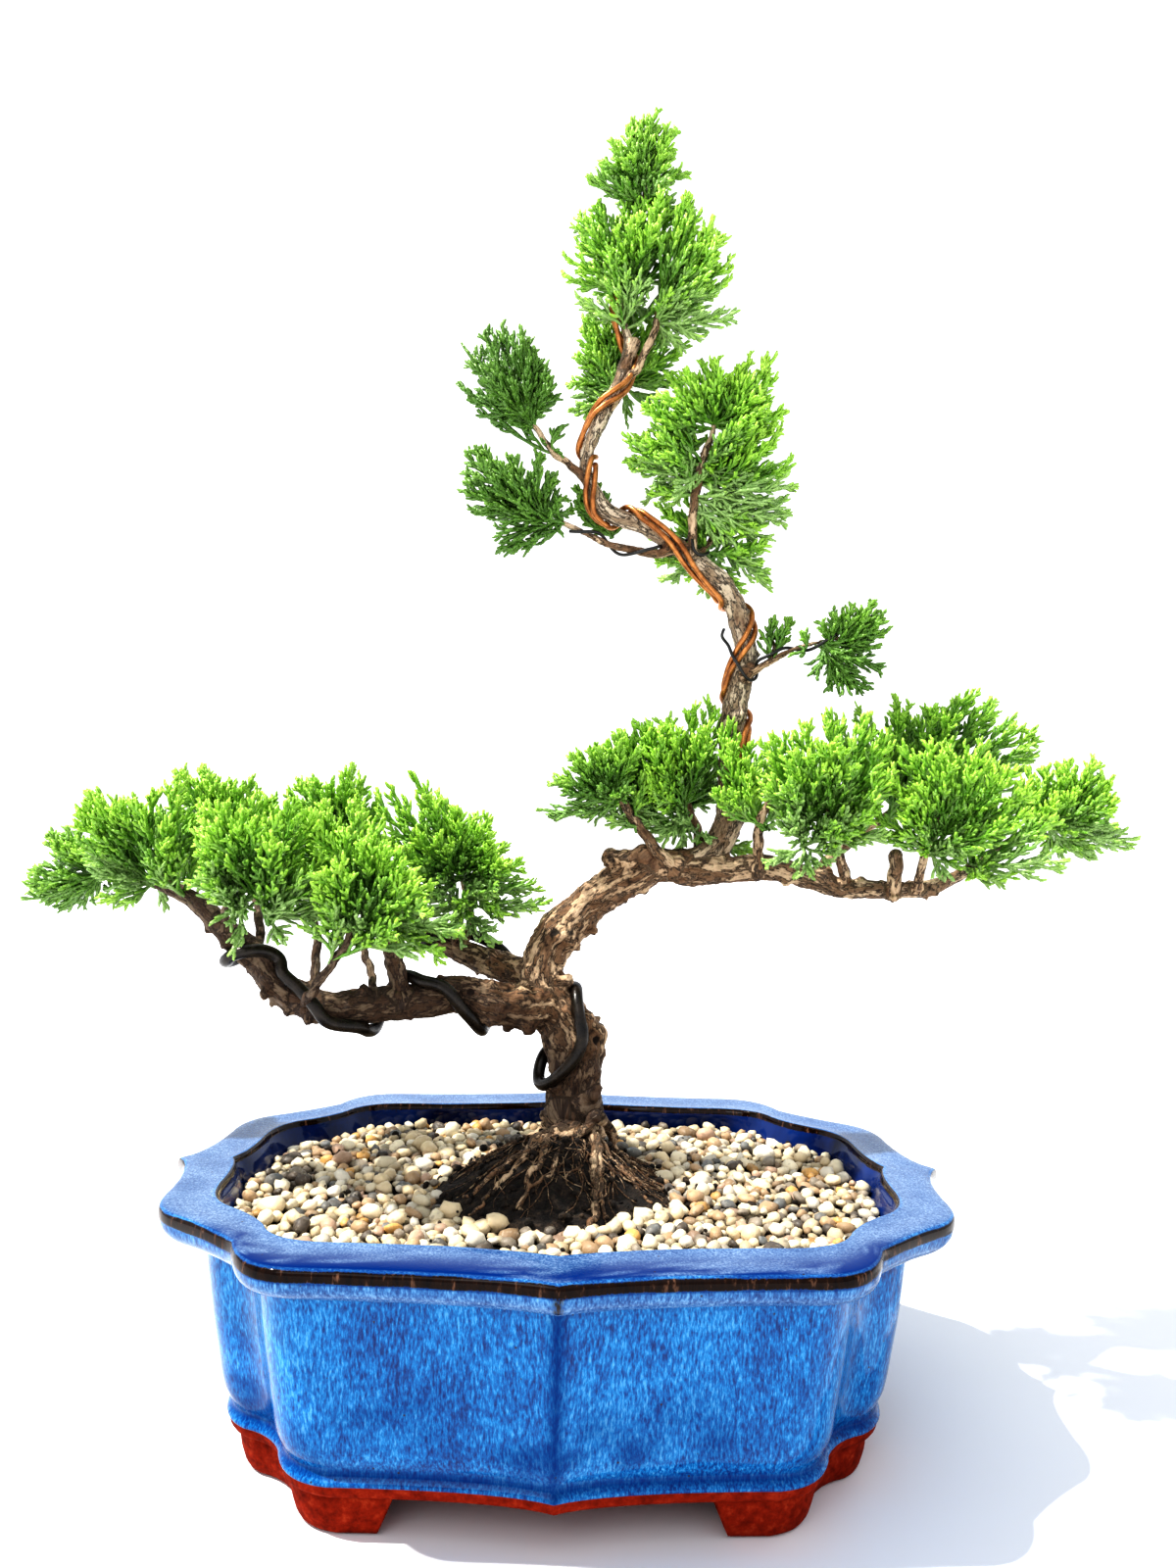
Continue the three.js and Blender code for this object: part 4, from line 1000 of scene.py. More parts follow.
def tube(points, radii, sides):
    """Closed tube with rounded ends. radii is one number a ring, or one a ring and side."""
    way, a, b = frames(points)
    turn = turns_round(sides)[:, None]
    radii = np.broadcast_to(np.reshape(radii, (len(points), -1)), (len(points), sides))
    rings = points[:, None] + radii[..., None] * (a[:, None] * np.cos(turn) + b[:, None] * np.sin(turn))
    first, last = way[0] * radii[0].mean(), way[-1] * radii[-1].mean()
    start = points[0] - first * 0.35 + (rings[0] - points[0]) * 0.7
    end = points[-1] + last * 0.35 + (rings[-1] - points[-1]) * 0.7
    tips = [points[0] - first * 0.5, points[-1] + last * 0.5]
    return np.concatenate([start, *rings, end, tips]), *capped(len(rings) + 2, sides)


class Bark:
    """Knows the nearest limb to a point, and the bark's relief there."""

    def __init__(self, runs):
        blocks = []
        for number, (stations, young, wet_and_shade) in enumerate(runs):
            route = Route(stations)
            places = route.spaced(0.8)
            points = route.at(places)
            _, a, b = frames(points)
            tone = np.interp(places, np.linspace(0, route.last, len(young)), young)
            same = np.ones(len(points))
            rest = (lengths_along(points), route.radius(places), same * number, tone, same * wet_and_shade)
            blocks.append(np.column_stack([points, a, b, *rest]))
        self.samples = np.concatenate(blocks)
        self.tree = point_tree(self.samples[:, :3])

    def relief(self, verts):
        """The bark's height, tone and grain, the limb's radius, how young the bark is, and how dark it is
        made by wetness and by painted shade on the lower trunk.
        """
        near = self.samples[[self.tree.find(v)[1] for v in verts]]
        length, radius, number, young, wet_and_shade = near[:, 9:].T
        out = unit(verts - near[:, :3])
        a = np.sum(out * near[:, 3:6], axis=1)
        b = np.sum(out * near[:, 6:9], axis=1)
        stretched = np.column_stack([a * radius, b * radius, length * 0.34 + number * 31.7])
        warp = np.column_stack([noise(verts / 3.1, seed) for seed in (3, 4, 5)]) - 0.5
        grain = np.clip(radius / 5.0, 0.32, 1.1)[:, None]
        nearest, second = plates(stretched / (2.1 * grain) + warp * 1.5, 11)
        crack = smoothstep(0.0, 0.26, second - nearest)
        strands = 1 - np.abs(2 * fractal(stretched / (1.3 * grain) + warp * 1.0, 3, 23) - 1)
        fine = fractal(verts / (0.75 * grain), 2, 29)
        lumps = smoothstep(0.30, 0.66, fractal(verts / 3.6, 3, 41))
        grainy = 0.30 * crack + 0.34 * (strands - 0.4) + 0.24 * fine
        height = 0.42 * lumps + 0.9 * grainy
        tone = 0.31 + grainy
        for x, y, z, size in SCARS:
            d = np.linalg.norm(verts - [x, y, z], axis=1) / size
            near_scar = np.exp(-(d**2) * 0.35)
            rings = 0.5 + 0.5 * np.cos(d * 5.2 + fine * 1.5) - 0.55 * np.exp(-(d * 2.6) ** 2)
            height = height * (1 - near_scar * 0.75) + near_scar * 0.75 * rings
            tone = tone * (1 - near_scar * 0.6) + near_scar * 0.6 * rings
        # Painted shade on the lower trunk: strongest low down and to the left, fading upward and to the
        # right.
        level = verts[:, 2] + 0.6 * (verts[:, 0] - 4) + 5 * (lumps - 0.5)
        painted_trunk_shade = 0.72 * (verts[:, 2] > 72) * smoothstep(102, 84, level)
        wet_and_shade = np.maximum(wet_and_shade, painted_trunk_shade)
        return np.clip(height, 0, 1.1), np.clip(tone, 0, 1), stretched * MM, radius, young, wet_and_shade


def rough_radii(route, places, sides, seed, amount):
    """Radii that wander a little round and along a limb."""
    s = np.arange(len(places))[:, None] * 0.16
    turn = turns_round(sides)[None]
    p = np.stack(np.broadcast_arrays(np.cos(turn) * 1.1 + seed * 9.1, np.sin(turn) * 1.1, s), axis=-1)
    wander = fractal(p.reshape(-1, 3), 2, seed).reshape(len(places), sides)
    return route.radius(places)[:, None] * (1 + amount * (wander - 0.5))


# Where loose flakes sit: the limb, the places they lie between, and how many there are.
FLAKES = [
    ("trunk", 0.8, 12, 46), ("left", 1, 12, 46), ("left_back", 1, 5, 10), ("right", 0.5, 8, 26),
    ("leader", 1, 16, 22),
]

# How young the bark is, evenly along a limb, where it differs from the other limbs.
AGES = {"trunk": [0.1, 0.1, 0.0], "leader": [0.5, 1.0, 1.0, 1.0, 0.9], "right": [0.1, 0.3, 0.6]}
LIMB_AGE = [0.0, 0.1, 0.3]
TWIG_AGE = [0.1, 0.3]
ROOT_AGE = [0.2, 0.1]
ROOT_DAMP = 0.12


def bark_flakes():
    rng = np.random.default_rng(7)
    for name, low, high, count in FLAKES:
        route = Route(LIMBS[name])
        places = rng.uniform(low, high, count)
        side, other = side_frame(route.tangent(places))
        turn = rng.uniform(0, 2 * math.pi, (count, 1))
        out = side * np.cos(turn) + other * np.sin(turn)
        for point, way, radius in zip(route.at(places), out, route.radius(places)):
            size = rng.uniform(0.14, 0.26) * radius + 0.25
            yield ball(point + way * (radius + rng.uniform(0.0, 0.8)), size, 8, 5)


def thick_wood():
    """The limbs, knobs and flakes fused into one skin, and its normals."""
    parts = []
    for number, stations in enumerate(LIMBS.values()):
        route = Route(stations)
        places = route.spaced(1.1)
        radii = rough_radii(route, places, THICK_SIDES, number + 1, 0.30)
        parts.append(tube(route.at(places), radii, THICK_SIDES))
    parts += [ball(knob[:3], knob[3]) for knob in KNOBS]
    parts += bark_flakes()
    rough = build_mesh("wood_rough", *merged(parts))
    remesh = rough.modifiers.new("union", "REMESH")
    remesh.mode = "VOXEL"
    remesh.voxel_size = SKIN_STEP * MM
    remesh.adaptivity = 0
    smooth = rough.modifiers.new("soften", "SMOOTH")
    smooth.factor = 0.5
    smooth.iterations = 3
    apply_modifiers(rough)
    skin, normals = (points_of(rough), *faces_of(rough)), normals_of(rough)
    bpy.data.objects.remove(rough)
    return skin, normals


def lay_root(points, radius):
    """Lets a root sway to the sides and lie down on the soil."""
    s = np.linspace(0, 1, len(points))
    sway = [noise(points * 0.16, 70 + k) + 0.5 * noise(points * 0.4, 72 + k) for k in range(2)]
    points[:, :2] += (np.column_stack(sway) - 0.75) * 5.0 * (s * (1 - s) * 4)[:, None] ** 0.5
    lie = ground(points[:, :2]) + radius * 0.45
    points[:, 2] += (lie - points[:, 2]) * smoothstep(0.1, 0.5, s)


def thin_wood():
    """The twigs and surface roots as tubes, and their normals."""
    parts = []
    for number, stations in enumerate(TWIGS + ROOTS):
        is_root = number >= len(TWIGS)
        stations = np.array(stations, float)
        if is_root:
            stations[1:, 3] *= ROOT_SLIMMING
        route = Route(stations)
        places = route.spaced(0.8)
        points = route.at(places)
        bends = np.column_stack([noise(points * 0.35, 60 + k) for k in range(3)])
        points[1:-1] += (bends[1:-1] - 0.5) * 1.3
        if is_root:
            lay_root(points, route.radius(places))
        parts.append(tube(points, rough_radii(route, places, THIN_SIDES, number + 20, 0.5), THIN_SIDES))
    thin = build_mesh("thin", *merged(parts))
    normals = normals_of(thin)
    bpy.data.objects.remove(thin)
    return merged(parts), normals


def make_wood():
    thick, thick_out = thick_wood()
    thin, thin_out = thin_wood()
    verts, quads, tris = merged([thick, thin])
    out = np.concatenate([thick_out, thin_out])
    runs = [(stations, AGES.get(name, LIMB_AGE), 0.0) for name, stations in LIMBS.items()]
    runs += [(stations, TWIG_AGE, 0.0) for stations in TWIGS]
    runs += [(stations, ROOT_AGE, ROOT_DAMP) for stations in ROOTS]
    height, tone, grain, radius, young, wet_and_shade = Bark(runs).relief(verts)
    depth = np.clip(0.24 * radius, 0.16, 1.6)
    verts = verts + out * (depth * (height - 0.66))[:, None]
    attributes = {"relief": tone, "grain": grain, "young": young, "wet_and_shade": wet_and_shade}
    return build_mesh("wood", verts, quads, tris, attributes)


# Wires, wound round the limbs

DARK_WIRE = 3.4
COPPER_WIRE = 1.5
BLACK_WIRE = 0.9
GAP = 0.2
WIRE_GAP = 0.35
PAIR_LIFT = 1.8
TURN_STEP = 30

# Each row: place along the limb, angle round it from the front and, at times, how far the wire stands off.
COPPER_TURNS = [
    [2, 5], [2.5, 35], [2.95, 65], [3.3, 130], [3.55, 215], [3.75, 285], [4.05, 290], [4.3, 303], [4.65, 330],
    [4.95, 352], [5.3, 385], [5.85, 430], [6.25, 455], [6.6, 500], [7, 580], [7.35, 650], [7.7, 668],
    [8.3, 660], [9.2, 672], [9.85, 695], [10.35, 730], [10.65, 747], [11.1, 768], [11.4, 840], [11.6, 930],
    [11.8, 995], [12.15, 1008], [12.4, 1040], [12.85, 1080], [13.45, 1125], [13.9, 1150], [14.15, 1230],
    [14.4, 1320], [14.7, 1365], [15.1, 1380], [15.6, 1395], [16, 1432], [16.25, 1465], [16.65, 1512],
    [17.1, 1540], [17.4, 1575], [17.8, 1650], [18.2, 1712], [18.6, 1728], [19.05, 1765], [19.6, 1810],
]
DARK_TRUNK_TURNS = [
    [3.9, 195], [3.5, 232], [3.15, 258, 0.4], [2.8, 268, 0.8], [2.5, 278, 0.7], [2.42, 296, 0.3], [2.6, 315],
    [3, 335], [3.65, 355], [4.2, 370], [4.6, 383], [4.95, 400, 0.1], [5.15, 428, -0.4], [5.25, 465, -1.4],
    [5.2, 500, -1.0], [5.1, 530, 0.3], [4.9, 570, 0.8],
]
DARK_LIMB_TURNS = [
    [2.3, 190, 1], [2.6, 240], [2.9, 285], [3.3, 318], [4.1, 345], [4.7, 390], [5.3, 415], [5.7, 460],
    [6.1, 540], [6.3, 620], [6.5, 675], [6.9, 695], [7.2, 728], [8.1, 758], [9.1, 764], [9.5, 782],
    [10, 757, 0.2], [10.4, 728, 0.4], [10.7, 700, 0.4], [10.75, 645, 0.3], [10.5, 590],
]
DARK_BACK_TURNS = [
    [1.2, 200], [1.6, 150], [2, 112], [2.4, 95], [2.7, 75], [3, 20], [3.3, -50], [3.6, -120], [4, -190],
    [4.5, -265],
]
SPRIG_LEADER_TURNS = [
    [6.2, 225, PAIR_LIFT], [5.85, 275, PAIR_LIFT], [5.3, 298, PAIR_LIFT], [4.8, 305, PAIR_LIFT],
    [4.5, 330, PAIR_LIFT], [4.25, 355, 1], [4.1, 380, 0.5], [4.15, 400, 0.5], [4.3, 425, 0.5],
]
SPRIG_TURNS = [
    [0.9, 290], [1.4, 300], [2, 290], [2.6, 230], [3, 150], [3.4, 50], [3.8, -50],
]
CROWN_LEADER_TURNS = [
    [9.45, 110, 0.3], [9.45, 60, 0.3], [9.6, 18, 0.3], [9.85, 5, 0.8], [10.05, 30, 0.8], [10.15, 80, 0.8],
    [10.2, 130, 0.4], [10.2, 175], [10.25, 220], [10.4, 250], [10.5, 262],
]
CROWN_TWIG_TURNS = [
    [0.7, 60], [1.4, 20], [2.2, -60], [3, -200], [3.7, -300], [4.5, -420],
]


def finer_turns(turns):
    """The turns as rows of place, angle and lift, no more than TURN_STEP degrees apart."""
    rows = np.array([list(t) + [0.0] * (3 - len(t)) for t in turns], float)
    out = []
    for a, b in zip(rows, rows[1:]):
        count = max(1, math.ceil(abs(b[1] - a[1]) / TURN_STEP))
        out += [a + (b - a) * k / count for k in range(count)]
    return np.array(out + [rows[-1]])


def winding(stations, wire_radius, rows, shift=0.0):
    route = Route(stations)
    places = rows[:, 0]
    way = route.tangent(places)
    front = unit(np.array([0.0, -1.0, 0.0]) + way * way[:, 1:2])
    side = np.cross(way, front)
    reach = (route.radius(places) + wire_radius + WIRE_GAP + rows[:, 2])[:, None]
    turn = np.radians(rows[:, 1])[:, None]
    return route.at(places) + front * reach * np.cos(turn) + side * reach * np.sin(turn) + way * shift


def copper_route(beside):
    stations = LIMBS["leader"]
    rows = finer_turns(COPPER_TURNS)
    apart = beside * (COPPER_WIRE + GAP)
    rows[:, 1] -= np.degrees(apart / (Route(stations).radius(rows[:, 0]) + COPPER_WIRE / 2 + WIRE_GAP))
    return winding(stations, COPPER_WIRE / 2, rows, apart)


def wound(diameter, **turns):
    """The way of a wire wound round one limb after another."""
    ways = [winding(LIMBS[limb], diameter / 2, finer_turns(rows)) for limb, rows in turns.items()]
    return np.concatenate(ways)


def make_wires():
    dark = wire_material("dark_wire", (0.006, 0.0045, 0.0035), (0.030, 0.021, 0.014), 0.35, 0.30)
    copper = wire_material("copper_wire", (0.22, 0.075, 0.022), (0.64, 0.28, 0.09), 0.7, 0.3)
    black = wire_material("black_wire", (0.005, 0.005, 0.005), (0.02, 0.018, 0.016), 0.0, 0.35)
    lower = wound(DARK_WIRE, trunk=DARK_TRUNK_TURNS, left=DARK_LIMB_TURNS)
    back = wound(DARK_WIRE, left_back=DARK_BACK_TURNS)
    sprig = wound(BLACK_WIRE, leader=SPRIG_LEADER_TURNS, sprig=SPRIG_TURNS)
    twig = wound(BLACK_WIRE, leader=CROWN_LEADER_TURNS, crown_twig=CROWN_TWIG_TURNS)
    copper_ways = {"copper_first": copper_route(0), "copper_second": copper_route(1)}
    for slot, material, diameter, ways in (
        ("dark_wire", dark, DARK_WIRE, {"dark_lower": lower, "dark_back": back}),
        ("copper_wire", copper, COPPER_WIRE, copper_ways),
        ("black_wire", black, BLACK_WIRE, {"black_sprig": sprig, "black_twig": twig}),
    ):
        for name, points in ways.items():
            route = Route(points)
            line = route.at(route.spaced(0.9))
            for _ in range(3):
                line[1:-1] = (line[:-2] + 2 * line[1:-1] + line[2:]) / 4
            obj = build_mesh("wound_" + name, *tube(line, np.full(len(line), diameter / 2), 12))
            finish_piece(obj, material, slot, "wire_" + name)


# Soil and gravel

SOIL_LEVEL = 53.6
GRAVEL_LEVEL = 57.5
MOUND_TOP = 70.0
MOUND_RADIUS = 34.0
MOUND_CENTRE = np.array([-1.0, -3.0])
FILL_SCALE = 0.985
LUMPS = 460
MOUND_LUMPS = 340
PEBBLE_DROPS = 3800
DROP_TRIES = 60
BED_REACH = 75
ROOTLETS = 190
ROOTLET_POINTS = 10

# Height of the mound against the share of its radius.
MOUND_PROFILE = [
    (0, MOUND_TOP), (0.15, MOUND_TOP - 0.4), (0.41, 65.2), (0.74, 59.2), (0.95, 56.2), (1.08, SOIL_LEVEL),
]


def mound_share(xy):
    """0 in the mound's middle, 1 at its uneven edge."""
    away = xy - MOUND_CENTRE
    p = np.column_stack([unit(away) * 1.6, np.zeros(len(xy))])
    radius = MOUND_RADIUS * (0.84 + 0.26 * noise(p + 5, 8))
    squash = np.where(away[:, 1] < 0, 0.93, 1.0)
    return np.linalg.norm(away / np.column_stack([np.ones(len(xy)), squash]), axis=1) / radius


def ground(xy):
    """Height of the soil: a bed with a mound over the roots."""
    t = mound_share(xy)
    rise = np.interp(t, *np.transpose(MOUND_PROFILE))
    p = np.column_stack([xy, np.zeros(len(xy))])
    crumbs = 2.6 * (fractal(p / 3.4, 3, 31) - 0.5) + 1.2 * (noise(p / 1.0, 37) - 0.5)
    return rise + crumbs * np.where(t < 1.05, 1.0, 0.6)


def soil_lumps():
    """Loose lumps, most of them on the mound."""
    rng = np.random.default_rng(21)
    for k in range(LUMPS):
        on_mound = k < MOUND_LUMPS
        spread = rng.uniform(0, 1) ** 0.7
        if on_mound:
            turn = rng.uniform(0, 2 * math.pi)
            way = np.array([math.cos(turn), 0.9 * math.sin(turn)])
            xy = MOUND_CENTRE + spread * 1.08 * MOUND_RADIUS * way
        else:
            xy = rng.uniform([-76, -52], [76, 52])
        size = rng.uniform(0.35, 1.15)
        z = ground(xy[None])[0] + size * 0.3 + (0.0 if on_mound else 2.2)
        verts, quads, tris = ball((0, 0, 0), size * rng.uniform(0.6, 1.2, 3), 6, 4)
        spin = Matrix.Rotation(rng.uniform(0, 6), 3, rng.normal(0, 1, 3))
        yield verts @ np.array(spin).T + [*xy, z], quads, tris


def make_soil():
    low = FLOOR_TOP + 0.4
    outline = inner_ring(SOIL_LEVEL)[:, :2] * FILL_SCALE
    rings = [wall_ring(z, WALL_SHRINK * FILL_SCALE) for z in (low, BEND_HEIGHT)]
    for scale in (1.0, 0.97, *np.linspace(0.93, 0.03, 56)):
        flat = outline * scale + MOUND_CENTRE * (1 - scale)
        height = ground(flat) if scale < 1 else np.full(len(flat), SOIL_LEVEL)
        rings.append(np.column_stack([flat, height]))
    verts = np.concatenate([*rings, [[0, 0, low], [*MOUND_CENTRE, MOUND_TOP]]])
    return build_mesh("soil_bed", *merged([(verts, *capped(len(rings), RING_SIZE)), *soil_lumps()]))


def inside_loop(xy, loop):
    """Whether points lie inside a closed outline."""
    ax, ay = loop.T
    bx, by = np.roll(loop, -1, axis=0).T
    x, y = xy[:, 0:1], xy[:, 1:2]
    crosses = (ay > y) != (by > y)
    at = ax + (y - ay) * (bx - ax) / np.where(by == ay, 1e-9, by - ay)
    return np.sum(crosses & (x < at), axis=1) % 2 == 1


# How common each colour of stone is.
STONES = [
    (28, (0.76, 0.62, 0.40)), (26, (0.82, 0.72, 0.52)), (13, (0.76, 0.70, 0.58)), (11, (0.46, 0.31, 0.18)),
    (4, (0.70, 0.40, 0.13)), (7, (0.27, 0.23, 0.18)), (5, (0.070, 0.060, 0.052)), (4, (0.15, 0.16, 0.16)),
    (5, (0.56, 0.38, 0.27)),
]


def settled_pebbles(rng):
    """Middles and sizes of pebbles dropped one by one, each where it rests lowest of several places."""
    outline = inner_ring(56)[:, :2]
    centres, sizes = np.zeros((0, 3)), np.zeros(0)
    for _ in range(PEBBLE_DROPS):
        size = float(np.clip(rng.lognormal(math.log(1.28), 0.32), 0.75, 2.9))
        spots = rng.uniform([-86, -68], [86, 68], (DROP_TRIES, 2))
        edge = outline * (1 - size * 0.9 / BED_REACH)
        spots = spots[inside_loop(spots, edge) & (mound_share(spots) > 0.97)]
        if not len(spots):
            continue
        gap = np.linalg.norm(spots[:, None] - centres[None, :, :2], axis=2)
        touch = (size + sizes[None]) * 0.86
        rise = 0.72 * np.sqrt(np.maximum(touch**2 - gap**2, 0))
        over = np.where(gap < touch, centres[None, :, 2] + rise, 0).max(axis=1, initial=0)
        rest = np.maximum(np.maximum(SOIL_LEVEL - 1.2, ground(spots)) + size * 0.35, over)
        best = int(np.argmin(rest))
        if rest[best] + size * 0.6 < GRAVEL_LEVEL + 1.6:
            centres = np.concatenate([centres, [[*spots[best], rest[best]]]])
            sizes = np.append(sizes, size)
    seen = centres[:, 2] + sizes * 0.6 > 55.4
    return centres[seen], sizes[seen]


def pebble(rng, centre, size):
    """One rounded stone, and the colour of its points."""
    shape = size * np.array([rng.uniform(0.92, 1.28), rng.uniform(0.78, 1.0), rng.uniform(0.58, 0.82)])
    verts, quads, tris = ball((0, 0, 0), 1.0, 7, 5)
    lump = 1 + 0.80 * (fractal(verts * 1.2 + rng.uniform(0, 50, 3), 2, 5) - 0.5)
    corner = 1 / (np.sum(np.abs(verts) ** 2.6, axis=1) ** (1 / 2.6))
    verts = verts * (lump * (0.35 + 0.65 * corner))[:, None] * shape
    spin = Matrix.Rotation(rng.uniform(0, 2 * math.pi), 3, "Z") @ Matrix.Rotation(rng.normal(0, 0.45), 3, "X")
    spin = Matrix.Rotation(rng.normal(0, 0.3), 3, "Y") @ spin
    weights = np.array([weight for weight, _ in STONES], float)
    tone = np.array(STONES[rng.choice(len(STONES), p=weights / weights.sum())][1])
    # Stones lower in the bed are made darker; the higher ones keep their full colour.
    darkened = 0.48 + 0.52 * smoothstep(54.6, 56.1, centre[2] + rng.normal(0, 0.4))
    colour = np.tile(tone * rng.uniform(0.82, 1.12) * darkened, (len(verts), 1))
    return (verts @ np.array(spin).T + centre, quads, tris), colour


def make_gravel():
    rng = np.random.default_rng(4)
    pebbles = [pebble(rng, centre, size) for centre, size in zip(*settled_pebbles(rng))]
    half = len(pebbles) // 2
    material = pebble_material()
    for name, chosen in (("pebbles_first", pebbles[:half]), ("pebbles_second", pebbles[half:])):
        parts, colours = zip(*chosen)
        tones = np.clip(np.concatenate(colours), 0, 1)
        finish_piece(build_mesh(name, *merged(parts), {"stone": tones}), material, "gravel", "gravel")


def make_rootlets():
    """Fine feeding roots that run from the trunk's foot down over the mound."""
    rng = np.random.default_rng(12)
    parts = []
    t = np.linspace(0, 1, ROOTLET_POINTS)
    for _ in range(ROOTLETS):
        turn = rng.uniform(0, 2 * math.pi)
        start = rng.uniform(4, 22)
        run = rng.uniform(8, 24)
        heading = turn + rng.normal(0, 0.6) + np.cumsum(rng.normal(0, 0.38, ROOTLET_POINTS))
        steps = np.column_stack([np.cos(heading), np.sin(heading)]) * run / (ROOTLET_POINTS - 1)
        xy = [4.0, 5.0] + start * np.array([math.cos(turn), math.sin(turn)]) + np.cumsum(steps, axis=0)
        lift = 0.25 + 1.0 * np.sin(math.pi * t) * rng.uniform(0, 1) ** 2 + rng.uniform(-0.3, 0.3)
        line = np.column_stack([xy, ground(xy) + lift])
        line[1:-1, 2] = (line[:-2, 2] + line[1:-1, 2] + line[2:, 2]) / 3
        radius = rng.uniform(0.12, 0.34) * (1 - 0.55 * t)
        parts.append(tube(line, radius, 4))
    verts, quads, tris = merged(parts)
    attributes = {
        "relief": 0.5 + 0.5 * fractal(verts / 1.5, 2, 3), "grain": verts * MM, "young": np.zeros(len(verts)),
        "wet_and_shade": np.full(len(verts), 0.25),
    }
    return build_mesh("rootlets", verts, quads, tris, attributes)


# Foliage: each clump is made of plumes, and a plume is a stem with cords, shoots and nubs along it

